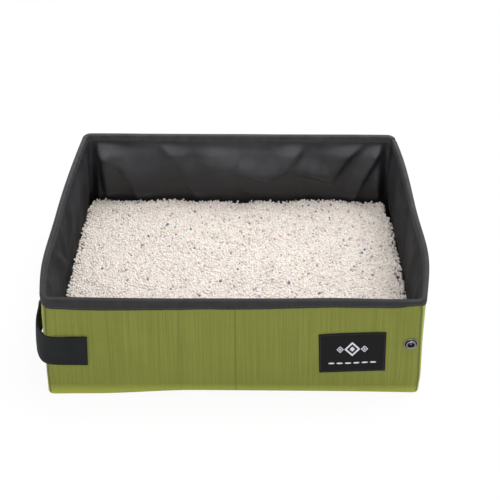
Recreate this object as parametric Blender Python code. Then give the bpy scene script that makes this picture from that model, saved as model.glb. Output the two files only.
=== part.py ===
"""Foldable litter box: fabric walls stiffened by boards, folding flat like a gusseted bag.

Each end wall creases at its middle and folds inwards while the back wall slides up to the
front wall. A webbing strap stands off the left end, and its stud closes on the front's socket.
Lengths are in metres. X runs across the front, Y to the back, Z up. The origin lies under the
middle of the base.
"""

import math

import bmesh
import bpy
from mathutils import Matrix, Vector

# Driving sizes of the open box
BOX_WIDTH = 0.400
BOX_DEPTH = 0.330
BOX_HEIGHT = 0.135
END_BOW = 0.009

# Layers of a wall, from the outside in
FABRIC = 0.0010
BOARD = 0.0026
LINING = 0.0008
CLEARANCE = 0.0003

# Rim binding tape
TAPE = 0.0008
TAPE_DROP = 0.012
NECK_RISE = 0.0022

# Base panel, floor and litter
BASE_TURN_UP = 0.006
BASE_EDGE_RADIUS = 0.004
LITTER_LEVEL = 0.031
LITTER_HEAP = 0.0016
LITTER_SWELL = 0.0014
SWELL_PITCH = 0.029
LITTER_CORNER = 0.016

# Boards
BOARD_CORNER = 0.006
CENTRE_CREASE = 0.004
BOARD_END_MARGIN = 0.002

# Main folds of the lining
FOLD_RELIEF = 0.0022

# Webbing strap
STRAP_WIDTH = 0.042
STRAP_THICKNESS = 0.0018
STRAP_FOOT = 0.041
STRAP_END_LENGTH = 0.045
STRAP_STANDOFF = 0.0195

# Press stud: socket on the front, stud on the strap
SNAP_INSET = 0.013
SNAP_HEIGHT = 0.076
SNAP_FLANGE_RADIUS = 0.0074
SNAP_FLANGE = 0.0010
SNAP_BOSS_RADIUS = 0.0050
SNAP_BOSS_RISE = 0.0022
SNAP_BORE_RADIUS = 0.0033
SNAP_FLOOR = 0.0007
SNAP_LIP = 0.0004
BARREL_RADIUS = 0.0022
CAP_RADIUS = 0.0045
CAP_THICKNESS = 0.0009
STUD_FROM_CORNER = 0.072
STUD_BASE_RADIUS = 0.0060
STUD_BASE = 0.0010
STUD_NECK_RADIUS = 0.0022
STUD_HEAD_RADIUS = 0.0029
STUD_RISE = 0.0032
STUD_CAP_RADIUS = 0.0075
STUD_CAP_DOME = 0.0016

# Label patch on the front
LABEL_WIDTH = 0.071
LABEL_HEIGHT = 0.056
LABEL_THICKNESS = 0.0008
LABEL_CORNER = 0.002
LABEL_INSET = 0.072
LABEL_Z = 0.0615
LABEL_TILT = math.radians(3.0)

# Facets of round stretches
CORNER_STEPS = 5
TURN_STEPS = 8
ROUND_SEGMENTS = 24
BACK_LINING_STEPS = 46
FLAP_LINING_STEPS = 20
LINING_ROWS = 7
LITTER_COLUMNS = 28
LITTER_ROWS = 20
CUT_OVERRUN = 0.002
SMOOTH_ANGLE = math.radians(30)

# Wall thickness, and the room that the folds of two linings need between folded walls
WALL = FABRIC + CLEARANCE + BOARD + CLEARANCE + LINING
HINGE_INSET = FOLD_RELIEF + CLEARANCE
CREASE_INSET = CLEARANCE

# Hinge lines: inner corners, and the outer face at the middle of each end
HINGE_X = BOX_WIDTH / 2 - WALL - HINGE_INSET
HINGE_Y = BOX_DEPTH / 2 - WALL - HINGE_INSET
BOW_ANGLE = math.atan2(END_BOW, HINGE_Y)
CREASE_OFFSET = WALL + HINGE_INSET + CREASE_INSET
FLAP_LENGTH = (HINGE_Y + CREASE_OFFSET * math.sin(BOW_ANGLE)) / math.cos(BOW_ANGLE)
CREASE_X = HINGE_X + CREASE_OFFSET * math.cos(BOW_ANGLE) + FLAP_LENGTH * math.sin(BOW_ANGLE)
FLAP_TRIM = (WALL + FOLD_RELIEF) * math.tan(BOW_ANGLE) + CLEARANCE
CORNER_RADIUS = (WALL + HINGE_INSET) * (1 - math.sin(BOW_ANGLE)) - CLEARANCE

# Heights of the layers
SHELL_FOOT = BASE_TURN_UP + CLEARANCE
FLOOR_FOOT = FABRIC + CLEARANCE
LINING_FOOT = FLOOR_FOOT + LINING + CLEARANCE
TAPE_FOOT = BOX_HEIGHT - TAPE_DROP
NECK_TOP = TAPE_FOOT - CLEARANCE
NECK_FOOT = NECK_TOP - NECK_RISE
CLOTH_TOP = BOX_HEIGHT - TAPE - CLEARANCE
NECK_INSET = TAPE + CLEARANCE
BOARD_FOOT = SHELL_FOOT
BOARD_TOP = NECK_FOOT - CLEARANCE
BOARD_OUTER = FABRIC + CLEARANCE

# Strap line beside the left end, and the pivots that let it follow the walls
STRAP_FACE_X = -BOX_WIDTH / 2 - STRAP_STANDOFF
STRAP_TOP = STRAP_FOOT + STRAP_WIDTH
STRAP_SEAT = BOX_DEPTH / 2 + CLEARANCE
STRAP_TURN_Y = STRAP_SEAT - STRAP_STANDOFF
STRAP_PIVOT_X = STRAP_FACE_X + STRAP_SEAT - HINGE_Y
STRAP_MIDDLE_X = (STRAP_PIVOT_X + CREASE_OFFSET * math.cos(BOW_ANGLE)
                  + FLAP_LENGTH * math.sin(BOW_ANGLE))

# Places of the label and of the snap's two halves
LABEL_X = BOX_WIDTH / 2 - LABEL_INSET
SNAP_X = BOX_WIDTH / 2 - SNAP_INSET
STUD_Y = -BOX_DEPTH / 2 + STUD_FROM_CORNER
STUD_Z = STRAP_FOOT + STRAP_WIDTH / 2
HOLE_RADIUS = BARREL_RADIUS + CLEARANCE
POCKET_FLOOR = BOARD_OUTER + BOARD - CAP_THICKNESS - CLEARANCE

# Folds of the lining: place and lean along the wall, width and height, as shares
BACK_FOLD_SHARES = (
    (0.05, 0.05, 0.020, 1.0),
    (0.17, -0.10, 0.028, 0.7),
    (0.33, 0.08, 0.024, 0.6),
    (0.47, -0.06, 0.030, 0.8),
    (0.60, 0.07, 0.026, 0.7),
    (0.76, -0.05, 0.024, 0.9),
    (0.90, 0.04, 0.022, 1.0),
)
FLAP_FOLD_SHARES = (
    (0.16, 0.04, 0.050, 0.9),
    (0.42, -0.08, 0.060, 0.6),
    (0.72, 0.06, 0.055, 1.0),
)
FOLD_EDGE_SHARE = 0.04
FOLD_MIDDLE_SHARE = 0.5

# Heaps of the litter: waves across, waves along, phase and height share
HEAP_SHARES = (
    (1.5, 2.0, 0.3, 0.5),
    (3.0, -1.0, 1.7, 0.3),
    (-2.0, 4.0, 2.9, 0.2),
)


def clear_scene():
    """Removes every object that the scene starts with."""
    for item in list(bpy.data.objects):
        bpy.data.objects.remove(item, do_unlink=True)


def make_material(name, colour, roughness, metallic=0.0):
    """Returns a plain material with the piece's colour, roughness and metallic value."""
    item = bpy.data.materials.new(name)
    item.use_nodes = True
    shader = item.node_tree.nodes["Principled BSDF"]
    shader.inputs["Base Color"].default_value = (*colour, 1.0)
    shader.inputs["Roughness"].default_value = roughness
    shader.inputs["Metallic"].default_value = metallic
    return item


def make_pivot(name, x, y, turn=0.0):
    """Adds an empty on a vertical joint axis, turned about it."""
    pivot = bpy.data.objects.new(name, None)
    pivot.location = (x, y, 0)
    pivot.rotation_euler = (0, 0, turn)
    bpy.context.scene.collection.objects.link(pivot)
    return pivot


def add_piece(name, bm, material, pivot=None, smooth=None):
    """Turns a bmesh into a named object, outward faced, parented to its pivot."""
    bmesh.ops.recalc_face_normals(bm, faces=bm.faces)
    mesh = bpy.data.meshes.new(name)
    bm.to_mesh(mesh)
    bm.free()
    mesh.materials.append(material)
    if smooth is not None:
        mesh.shade_smooth()
        mesh.set_sharp_from_angle(angle=smooth)
    piece = bpy.data.objects.new(name, mesh)
    piece.parent = pivot
    bpy.context.scene.collection.objects.link(piece)
    return piece


def skin_panel(stations, outer_sides, inner_sides, closed=False, floored=False):
    """Builds a sheet with thickness along a plan path.

    A station is a plan point and a direction across the sheet. For each station the two sides
    give matching (inset, height) points. A closed path has no end faces, and a floored panel
    closes its last points across the middle.
    """
    bm = bmesh.new()
    columns = []
    for (point, across), outer, inner in zip(stations, outer_sides, inner_sides):
        sides = []
        for side in (outer, inner):
            sides.append([bm.verts.new((point[0] + across[0] * inset,
                                        point[1] + across[1] * inset, height))
                          for inset, height in side])
        columns.append(sides)
    pairs = list(zip(columns, columns[1:]))
    if closed:
        pairs.append((columns[-1], columns[0]))
    for here, there in pairs:
        for side in (0, 1):
            for row in range(len(here[side]) - 1):
                bm.faces.new((here[side][row], there[side][row],
                              there[side][row + 1], here[side][row + 1]))
        bm.faces.new((here[0][0], there[0][0], there[1][0], here[1][0]))
        if not floored:
            bm.faces.new((here[0][-1], there[0][-1], there[1][-1], here[1][-1]))
    if floored:
        for side in (0, 1):
            bm.faces.new([column[side][-1] for column in columns])
    if not closed:
        for column in (columns[0], columns[-1]):
            for row in range(len(column[0]) - 1):
                bm.faces.new((column[0][row], column[0][row + 1],
                              column[1][row + 1], column[1][row]))
    return bm


def arc_stations(centre, radius, start, end, steps, outward=False):
    """Returns stations on an arc, facing its centre, or away from it if outward."""
    sign = 1 if outward else -1
    stations = []
    for step in range(steps + 1):
        angle = math.radians(start + (end - start) * step / steps)
        ray = (math.cos(angle), math.sin(angle))
        point = (centre[0] + radius * ray[0], centre[1] + radius * ray[1])
        stations.append((point, (sign * ray[0], sign * ray[1])))
    return stations


def long_wall_stations(front, steps=1):
    """Stations of the front or back wall's outer line, round both of its corners."""
    reach_x = BOX_WIDTH / 2 - CORNER_RADIUS
    reach_y = BOX_DEPTH / 2 - CORNER_RADIUS
    left = arc_stations((-reach_x, -reach_y), CORNER_RADIUS, 180, 270, CORNER_STEPS)
    right = arc_stations((reach_x, -reach_y), CORNER_RADIUS, 270, 360, CORNER_STEPS)
    between = []
    for step in range(1, steps):
        x = -reach_x + 2 * reach_x * step / steps
        between.append(((x, -BOX_DEPTH / 2), (0, 1)))
    stations = left + between + right
    if front:
        return stations
    return [((point[0], -point[1]), (across[0], -across[1])) for point, across in stations]


def outline_stations(half_width, half_depth, bow, radius):
    """Stations round the whole box in plan, with its bowed ends."""
    stations = []
    for turn in range(4):
        side_x = (-1, 1, 1, -1)[turn]
        side_y = (-1, -1, 1, 1)[turn]
        centre = (side_x * (half_width - radius), side_y * (half_depth - radius))
        start = 180 + 90 * turn
        stations += arc_stations(centre, radius, start, start + 90, CORNER_STEPS)
        if turn == 1:
            stations.append(((half_width + bow, 0), (-1, 0)))
        if turn == 3:
            stations.append(((-half_width - bow, 0), (1, 0)))
    return stations


def shell_sides():
    """Outer cloth: straight wall, then drawn in under the binding."""
    outer = [(0, SHELL_FOOT), (0, NECK_FOOT), (NECK_INSET, NECK_TOP), (NECK_INSET, CLOTH_TOP)]
    inner = [(inset + FABRIC, height) for inset, height in outer]
    return outer, inner


def lining_sides(relief):
    """Lining: the wall's inner face pushed inwards by its folds, drawn in under the binding."""
    inner = []
    for row in range(LINING_ROWS + 1):
        height = LINING_FOOT + (NECK_FOOT - LINING_FOOT) * row / LINING_ROWS
        inner.append((WALL + relief(height), height))
    inner.append((WALL - NECK_INSET, NECK_TOP))
    inner.append((WALL - NECK_INSET, CLOTH_TOP))
    outer = [(inset - LINING, height) for inset, height in inner]
    return outer, inner


def binding_sides():
    """Tape folded over the rim: down the outside and down the inside."""
    outer = [(0, TAPE_FOOT), (0, BOX_HEIGHT - TAPE / 2), (TAPE / 2, BOX_HEIGHT),
             (WALL - TAPE / 2, BOX_HEIGHT), (WALL, BOX_HEIGHT - TAPE / 2), (WALL, TAPE_FOOT)]
    under = BOX_HEIGHT - TAPE
    inner = [(TAPE, TAPE_FOOT), (TAPE, under), (TAPE + CLEARANCE / 2, under),
             (WALL - TAPE - CLEARANCE / 2, under), (WALL - TAPE, under), (WALL - TAPE, TAPE_FOOT)]
    return outer, inner


def fold_relief(fold_shares, length):
    """Returns the lining's relief as a function of place along the wall and height."""
    def relief(place, height):
        rise = (height - LINING_FOOT) / (NECK_FOOT - LINING_FOOT)
        edge = min(place, length - place) / (length * FOLD_EDGE_SHARE)
        fade = max(0, min(1, edge)) * math.sqrt(max(0, 4 * rise * (1 - rise)))
        total = 0
        for start_share, lean_share, width_share, height_share in fold_shares:
            middle = length * (start_share + lean_share * (rise - FOLD_MIDDLE_SHARE))
            total += height_share * math.exp(-((place - middle) / (length * width_share)) ** 2)
        return FOLD_RELIEF * fade * min(1, total)
    return relief


def repeat(sides, count):
    """Gives every station the same cross-section."""
    return [sides[0]] * count, [sides[1]] * count


def plate(length, foot, top, thickness, corner, place):
    """Builds a flat board with round corners; place turns (along, height, depth) into a point."""
    bm = bmesh.new()
    outline = []
    for turn in range(4):
        along = (length - corner, corner, corner, length - corner)[turn]
        height = (top - corner, top - corner, foot + corner, foot + corner)[turn]
        for step in range(CORNER_STEPS + 1):
            angle = math.radians(90 * turn + 90 * step / CORNER_STEPS)
            outline.append((along + corner * math.cos(angle), height + corner * math.sin(angle)))
    near = [bm.verts.new(place(along, height, 0)) for along, height in outline]
    far = [bm.verts.new(place(along, height, thickness)) for along, height in outline]
    bm.faces.new(near)
    bm.faces.new(far)
    for step in range(len(outline)):
        after = (step + 1) % len(outline)
        bm.faces.new((near[step], near[after], far[after], far[step]))
    return bm


def turned(profile, matrix):
    """Revolves a profile of (radius, height) points, whose ends lie on the axis."""
    bm = bmesh.new()
    rings = []
    for radius, height in profile:
        if radius == 0:
            rings.append([bm.verts.new((0, 0, height))])
            continue
        ring = []
        for step in range(ROUND_SEGMENTS):
            angle = 2 * math.pi * step / ROUND_SEGMENTS
            ring.append(bm.verts.new((radius * math.cos(angle), radius * math.sin(angle), height)))
        rings.append(ring)
    for lower, upper in zip(rings, rings[1:]):
        for step in range(ROUND_SEGMENTS):
            after = (step + 1) % ROUND_SEGMENTS
            corners = [lower[step % len(lower)], lower[after % len(lower)],
                       upper[after % len(upper)], upper[step % len(upper)]]
            bm.faces.new(list(dict.fromkeys(corners)))
    bmesh.ops.transform(bm, matrix=matrix, verts=bm.verts)
    return bm


def cut_round(piece, radius, start, end, pivot=None):
    """Cuts a round hole through a piece, from one point to another."""
    run = end - start
    matrix = Matrix.Translation(start) @ run.to_track_quat("Z", "Y").to_matrix().to_4x4()
    bm = turned([(0, 0), (radius, 0), (radius, run.length), (0, run.length)], matrix)
    cutter = add_piece(piece.name + "_cutter", bm, piece.data.materials[0], pivot)
    cutter.hide_render = True
    cutter.display_type = "WIRE"
    cut = piece.modifiers.new("hole", "BOOLEAN")
    cut.operation = "DIFFERENCE"
    cut.object = cutter


def build_long_wall(name, front, cloth, lining_cloth, card, tape, pivot=None):
    """Builds the front or back wall: shell, two boards, lining and binding."""
    side = -1 if front else 1
    origin = Vector((0, 0, 0)) if pivot is None else pivot.location
    plain = long_wall_stations(front)
    length = BOX_WIDTH
    relief = fold_relief(BACK_FOLD_SHARES, length)
    lining_stations = plain if front else long_wall_stations(front, BACK_LINING_STEPS)
    sides = []
    for point, _ in lining_stations:
        place = point[0] + BOX_WIDTH / 2
        sides.append(lining_sides(lambda height: 0 if front else relief(place, height)))
    lining = skin_panel(lining_stations, [pair[0] for pair in sides], [pair[1] for pair in sides])
    shell = skin_panel(plain, *repeat(shell_sides(), len(plain)))
    binding = skin_panel(plain, *repeat(binding_sides(), len(plain)))
    pieces = {}
    for label, bm, material in (("shell", shell, cloth), ("lining", lining, lining_cloth),
                                ("binding", binding, tape)):
        bmesh.ops.translate(bm, verts=bm.verts, vec=-origin)
        pieces[label] = add_piece(f"{name}_{label}", bm, material, pivot, SMOOTH_ANGLE)
    board_length = BOX_WIDTH / 2 - CORNER_RADIUS - CENTRE_CREASE / 2
    for label, hand in (("left", -1), ("right", 1)):
        def place_board(along, height, depth):
            x = hand * (CENTRE_CREASE / 2 + along)
            y = side * (BOX_DEPTH / 2 - BOARD_OUTER - depth)
            return Vector((x, y, height)) - origin
        bm = plate(board_length, BOARD_FOOT, BOARD_TOP, BOARD, BOARD_CORNER, place_board)
        pieces[label] = add_piece(f"{name}_board_{label}", bm, card, pivot)
    return pieces


def build_flap(name, side, rear, pivot, cloth, lining_cloth, card, tape):
    """Builds half of an end wall in the frame of its own joint axis, along local Y."""
    if rear:
        face = -side * CREASE_INSET
        start, end = FLAP_TRIM, FLAP_LENGTH
    else:
        face = side * (WALL + HINGE_INSET)
        start, end = 0, FLAP_LENGTH - FLAP_TRIM
    length = end - start
    across = (-side, 0)
    plain = [((face, start), across), ((face, end), across)]
    relief = fold_relief(FLAP_FOLD_SHARES, length)
    stations = []
    sides = []
    for step in range(FLAP_LINING_STEPS + 1):
        along = length * step / FLAP_LINING_STEPS
        place = length - along if rear else along
        stations.append(((face, start + along), across))
        sides.append(lining_sides(lambda height: relief(place, height)))
    lining = skin_panel(stations, [pair[0] for pair in sides], [pair[1] for pair in sides])
    add_piece(f"{name}_lining", lining, lining_cloth, pivot, SMOOTH_ANGLE)
    shell = skin_panel(plain, *repeat(shell_sides(), len(plain)))
    add_piece(f"{name}_shell", shell, cloth, pivot)
    binding = skin_panel(plain, *repeat(binding_sides(), len(plain)))
    add_piece(f"{name}_binding", binding, tape, pivot, SMOOTH_ANGLE)

    def place_board(along, height, depth):
        return Vector((face - side * (BOARD_OUTER + depth), start + BOARD_END_MARGIN + along,
                       height))
    board = plate(length - 2 * BOARD_END_MARGIN, BOARD_FOOT, BOARD_TOP, BOARD, BOARD_CORNER,
                  place_board)
    add_piece(f"{name}_board", board, card, pivot)


def build_base(cloth, lining_cloth):
    """Builds the base panel with its turned-up edge, and the floor lining in it."""
    stations = outline_stations(BOX_WIDTH / 2, BOX_DEPTH / 2, END_BOW, CORNER_RADIUS)
    outer = [(0, BASE_TURN_UP), (0, BASE_EDGE_RADIUS)]
    inner = [(FABRIC, BASE_TURN_UP), (FABRIC, BASE_EDGE_RADIUS)]
    hollow = BASE_EDGE_RADIUS - FABRIC
    for step in range(1, CORNER_STEPS + 1):
        angle = math.radians(90 * step / CORNER_STEPS)
        outer.append((BASE_EDGE_RADIUS * (1 - math.cos(angle)),
                      BASE_EDGE_RADIUS * (1 - math.sin(angle))))
        inner.append((BASE_EDGE_RADIUS - hollow * math.cos(angle),
                      BASE_EDGE_RADIUS - hollow * math.sin(angle)))
    base = skin_panel(stations, *repeat((outer, inner), len(stations)), closed=True, floored=True)
    add_piece("base_shell", base, cloth, smooth=SMOOTH_ANGLE)

    inset = BASE_EDGE_RADIUS + CLEARANCE
    floor_stations = outline_stations(BOX_WIDTH / 2 - inset, BOX_DEPTH / 2 - inset, END_BOW,
                                      CORNER_RADIUS)
    count = len(floor_stations)
    floor = bmesh.new()
    rings = []
    for height in (FLOOR_FOOT, FLOOR_FOOT + LINING):
        rings.append([floor.verts.new((*point, height)) for point, _ in floor_stations])
    floor.faces.new(rings[0])
    floor.faces.new(rings[1])
    for step in range(count):
        after = (step + 1) % count
        floor.faces.new((rings[0][step], rings[0][after], rings[1][after], rings[1][step]))
    add_piece("floor_lining", floor, lining_cloth)


def litter_height(x, y):
    """Height of the litter's surface: gentle heaps, with smaller swells on them."""
    heap = 0
    for across, along, phase, share in HEAP_SHARES:
        turns = across * x / BOX_WIDTH + along * y / BOX_DEPTH
        heap += share * math.sin(2 * math.pi * turns + phase)
    swell = math.cos(math.pi * x / SWELL_PITCH) * math.cos(math.pi * y / SWELL_PITCH)
    return LITTER_LEVEL + LITTER_HEAP * heap + LITTER_SWELL * swell


def litter_rows():
    """Rows of the litter across the box: place along its depth, and reach to each side."""
    half_width = BOX_WIDTH / 2 - WALL - HINGE_INSET - LITTER_CORNER
    half_depth = BOX_DEPTH / 2 - WALL - HINGE_INSET - LITTER_CORNER
    angles = [math.radians(90 * step / CORNER_STEPS) for step in range(CORNER_STEPS, 0, -1)]
    far = [(half_depth + LITTER_CORNER * math.sin(angle),
            half_width + LITTER_CORNER * math.cos(angle)) for angle in angles]
    rows = [(-y, reach) for y, reach in far]
    for step in range(LITTER_ROWS + 1):
        y = half_depth * (2 * step / LITTER_ROWS - 1)
        bow = END_BOW * (1 - abs(y) / half_depth)
        rows.append((y, half_width + LITTER_CORNER + bow))
    return rows + far[::-1]


def build_litter(grains):
    """Builds the bed of litter that lies on the floor."""
    bm = bmesh.new()
    foot = []
    top = []
    for y, reach in litter_rows():
        places = [reach * (2 * step / LITTER_COLUMNS - 1) for step in range(LITTER_COLUMNS + 1)]
        foot.append([bm.verts.new((x, y, LINING_FOOT)) for x in (places[0], places[-1])])
        top.append([bm.verts.new((x, y, litter_height(x, y))) for x in places])
    for below, above, after_below, after_above in zip(foot, top, foot[1:], top[1:]):
        for step in range(LITTER_COLUMNS):
            bm.faces.new((above[step], above[step + 1], after_above[step + 1],
                          after_above[step]))
        bm.faces.new((below[0], below[1], after_below[1], after_below[0]))
        for end in (0, -1):
            bm.faces.new((below[end], after_below[end], after_above[end], above[end]))
    for row in (0, -1):
        bm.faces.new([foot[row][0], *top[row], foot[row][1]])
    add_piece("litter_fill", bm, grains, smooth=SMOOTH_ANGLE)


def build_label(patch):
    """Builds the sewn label patch, tilted as it is sewn on."""
    def place_label(along, height, depth):
        flat = Vector((along - LABEL_WIDTH / 2, 0, height - LABEL_HEIGHT / 2))
        flat.rotate(Matrix.Rotation(-LABEL_TILT, 3, "Y"))
        return flat + Vector((LABEL_X, -BOX_DEPTH / 2 - CLEARANCE - depth, LABEL_Z))
    bm = plate(LABEL_WIDTH, 0, LABEL_HEIGHT, LABEL_THICKNESS, LABEL_CORNER, place_label)
    add_piece("label_patch", bm, patch)


def build_socket(front_wall, metal):
    """Builds the socket and its cap, and cuts their holes in the front's shell and board."""
    face = -BOX_DEPTH / 2
    outward = Matrix.Translation((SNAP_X, face, SNAP_HEIGHT)) @ Matrix.Rotation(
        math.radians(90), 4, "X")
    seat = CLEARANCE
    flange_top = seat + SNAP_FLANGE
    boss_top = flange_top + SNAP_BOSS_RISE
    profile = [(0, -POCKET_FLOOR), (BARREL_RADIUS, -POCKET_FLOOR), (BARREL_RADIUS, seat),
               (SNAP_FLANGE_RADIUS, seat), (SNAP_FLANGE_RADIUS, flange_top - SNAP_LIP),
               (SNAP_FLANGE_RADIUS - SNAP_LIP, flange_top), (SNAP_BOSS_RADIUS, flange_top),
               (SNAP_BOSS_RADIUS, boss_top - SNAP_LIP), (SNAP_BOSS_RADIUS - SNAP_LIP, boss_top),
               (SNAP_BORE_RADIUS + SNAP_LIP, boss_top), (SNAP_BORE_RADIUS, boss_top - SNAP_LIP),
               (SNAP_BORE_RADIUS, seat + SNAP_FLOOR), (0, seat + SNAP_FLOOR)]
    add_piece("snap_socket", turned(profile, outward), metal, smooth=SMOOTH_ANGLE)
    back = POCKET_FLOOR + CLEARANCE
    cap = [(0, -back - CAP_THICKNESS), (CAP_RADIUS - SNAP_LIP, -back - CAP_THICKNESS),
           (CAP_RADIUS, -back - CAP_THICKNESS + SNAP_LIP), (CAP_RADIUS, -back), (0, -back)]
    add_piece("snap_cap", turned(cap, outward), metal, smooth=SMOOTH_ANGLE)
    outside = Vector((SNAP_X, face - CUT_OVERRUN, SNAP_HEIGHT))
    inside = Vector((SNAP_X, face + WALL + CUT_OVERRUN, SNAP_HEIGHT))
    pocket = Vector((SNAP_X, face + POCKET_FLOOR, SNAP_HEIGHT))
    cut_round(front_wall["shell"], HOLE_RADIUS, outside, pocket)
    cut_round(front_wall["right"], HOLE_RADIUS, outside, inside)
    cut_round(front_wall["right"], CAP_RADIUS + CLEARANCE, pocket, inside)


def strap_sides():
    """Webbing: a flat band on edge, measured out from the side that faces the box."""
    near = [(0, STRAP_FOOT), (0, STRAP_TOP)]
    far = [(STRAP_THICKNESS, STRAP_FOOT), (STRAP_THICKNESS, STRAP_TOP)]
    return near, far


def build_strap_end(name, side, webbing, pivot=None):
    """Builds one sewn end of the strap: flat on the wall, then turned round the corner."""
    origin = Vector((0, 0, 0)) if pivot is None else pivot.location
    start_x = -BOX_WIDTH / 2 + STRAP_END_LENGTH
    stations = [((start_x, side * STRAP_SEAT), (0, side))]
    turn = arc_stations((-BOX_WIDTH / 2, -STRAP_TURN_Y), STRAP_STANDOFF, 270, 180, TURN_STEPS,
                        outward=True)
    for point, across in turn:
        stations.append(((point[0], -side * point[1]), (across[0], -side * across[1])))
    bm = skin_panel(stations, *repeat(strap_sides(), len(stations)))
    bmesh.ops.translate(bm, verts=bm.verts, vec=-origin)
    add_piece(name, bm, webbing, pivot, SMOOTH_ANGLE)


def build_strap_half(name, near_y, far_y, pivot, webbing):
    """Builds half of the strap's free run, beside the end wall."""
    across = (-1, 0)
    stations = [((STRAP_FACE_X, near_y), across), ((STRAP_FACE_X, far_y), across)]
    bm = skin_panel(stations, *repeat(strap_sides(), len(stations)))
    bmesh.ops.translate(bm, verts=bm.verts, vec=-pivot.location)
    return add_piece(name, bm, webbing, pivot)


def build_stud(strap, pivot, metal):
    """Builds the stud on the strap's inner side and its cap outside, and cuts their hole."""
    place = Vector((STRAP_FACE_X, STUD_Y, STUD_Z)) - pivot.location
    inward = Matrix.Translation(place) @ Matrix.Rotation(math.radians(90), 4, "Y")
    seat = CLEARANCE
    base_top = seat + STUD_BASE
    head = base_top + STUD_RISE
    shank = -STRAP_THICKNESS
    profile = [(0, shank), (BARREL_RADIUS, shank), (BARREL_RADIUS, seat),
               (STUD_BASE_RADIUS, seat), (STUD_BASE_RADIUS, base_top - SNAP_LIP),
               (STUD_BASE_RADIUS - SNAP_LIP, base_top), (STUD_NECK_RADIUS, base_top),
               (STUD_NECK_RADIUS, base_top + STUD_RISE / 3),
               (STUD_HEAD_RADIUS, base_top + STUD_RISE / 2),
               (STUD_HEAD_RADIUS, head - STUD_RISE / 4), (STUD_NECK_RADIUS, head), (0, head)]
    add_piece("strap_stud", turned(profile, inward), metal, pivot, SMOOTH_ANGLE)
    outside = shank - CLEARANCE
    cap = [(0, outside - STUD_CAP_DOME)]
    for step in range(1, CORNER_STEPS + 1):
        angle = math.radians(90 * step / CORNER_STEPS)
        cap.append((STUD_CAP_RADIUS * math.sin(angle),
                    outside - SNAP_LIP - (STUD_CAP_DOME - SNAP_LIP) * math.cos(angle)))
    cap.append((STUD_CAP_RADIUS, outside))
    cap.append((0, outside))
    add_piece("strap_stud_cap", turned(cap, inward), metal, pivot, SMOOTH_ANGLE)
    through = Vector((STRAP_THICKNESS + CUT_OVERRUN, 0, 0))
    cut_round(strap, HOLE_RADIUS, place - through, place + through, pivot)


def build_box():
    """Builds the whole litter box, open, with its walls upright."""
    clear_scene()
    cloth = make_material("oxford_cloth", (0.20, 0.22, 0.055), 0.75)
    lining_cloth = make_material("coated_lining", (0.025, 0.026, 0.030), 0.42)
    tape = make_material("binding_tape", (0.035, 0.035, 0.040), 0.7)
    card = make_material("stiffener_board", (0.62, 0.60, 0.55), 0.6)
    webbing = make_material("strap_webbing", (0.018, 0.019, 0.024), 0.65)
    metal = make_material("snap_metal", (0.33, 0.33, 0.34), 0.3, 1.0)
    patch = make_material("label_cloth", (0.016, 0.016, 0.019), 0.45)
    grains = make_material("litter_grains", (0.72, 0.66, 0.60), 0.95)

    front_wall = build_long_wall("front", True, cloth, lining_cloth, card, tape)
    build_base(cloth, lining_cloth)
    build_litter(grains)
    build_label(patch)
    build_socket(front_wall, metal)
    build_strap_end("strap_front_end", -1, webbing)

    for hand, side in (("left", -1), ("right", 1)):
        corner = make_pivot(f"{hand}_front_axis", side * HINGE_X, -HINGE_Y, -side * BOW_ANGLE)
        build_flap(f"{hand}_front", side, False, corner, cloth, lining_cloth, card, tape)
        crease = make_pivot(f"{hand}_crease_axis", side * CREASE_X, 0, side * BOW_ANGLE)
        build_flap(f"{hand}_rear", side, True, crease, cloth, lining_cloth, card, tape)

    back_axis = make_pivot("back_left_axis", -HINGE_X, HINGE_Y)
    build_long_wall("back", False, cloth, lining_cloth, card, tape, back_axis)
    build_strap_end("strap_rear_end", 1, webbing, back_axis)

    front_swing = make_pivot("strap_front_axis", STRAP_PIVOT_X, -HINGE_Y)
    strap = build_strap_half("strap_front_half", -STRAP_TURN_Y + CLEARANCE, -CLEARANCE / 2,
                             front_swing, webbing)
    build_stud(strap, front_swing, metal)
    middle = make_pivot("strap_middle_axis", STRAP_MIDDLE_X, 0)
    build_strap_half("strap_rear_half", CLEARANCE / 2, STRAP_TURN_Y - CLEARANCE, middle, webbing)


build_box()
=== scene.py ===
"""Dresses the foldable litter box: olive cloth walls, black lining, bound rim, strap and litter."""
import math
import random

import bmesh
import bpy
import numpy as np
from mathutils import Euler, Matrix, Vector, noise


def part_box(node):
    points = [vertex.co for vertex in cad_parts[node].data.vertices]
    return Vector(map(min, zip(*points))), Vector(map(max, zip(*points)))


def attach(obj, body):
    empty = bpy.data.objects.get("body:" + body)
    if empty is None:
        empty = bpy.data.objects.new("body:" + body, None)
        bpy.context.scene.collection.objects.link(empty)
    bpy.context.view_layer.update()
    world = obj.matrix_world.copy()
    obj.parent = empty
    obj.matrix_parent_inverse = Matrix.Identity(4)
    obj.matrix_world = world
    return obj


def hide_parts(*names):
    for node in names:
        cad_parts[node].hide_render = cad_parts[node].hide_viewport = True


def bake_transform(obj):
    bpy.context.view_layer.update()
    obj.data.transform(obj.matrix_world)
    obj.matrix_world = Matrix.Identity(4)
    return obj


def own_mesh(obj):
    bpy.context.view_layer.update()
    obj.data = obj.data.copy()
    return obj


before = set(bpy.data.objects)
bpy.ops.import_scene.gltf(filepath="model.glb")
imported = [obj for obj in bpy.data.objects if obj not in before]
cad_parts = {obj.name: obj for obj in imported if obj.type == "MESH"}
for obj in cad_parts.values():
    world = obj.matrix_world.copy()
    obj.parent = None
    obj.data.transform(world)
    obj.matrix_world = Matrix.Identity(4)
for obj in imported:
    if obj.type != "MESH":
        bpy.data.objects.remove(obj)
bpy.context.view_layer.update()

scene = bpy.context.scene
scene.view_settings.view_transform = "Standard"


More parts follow.
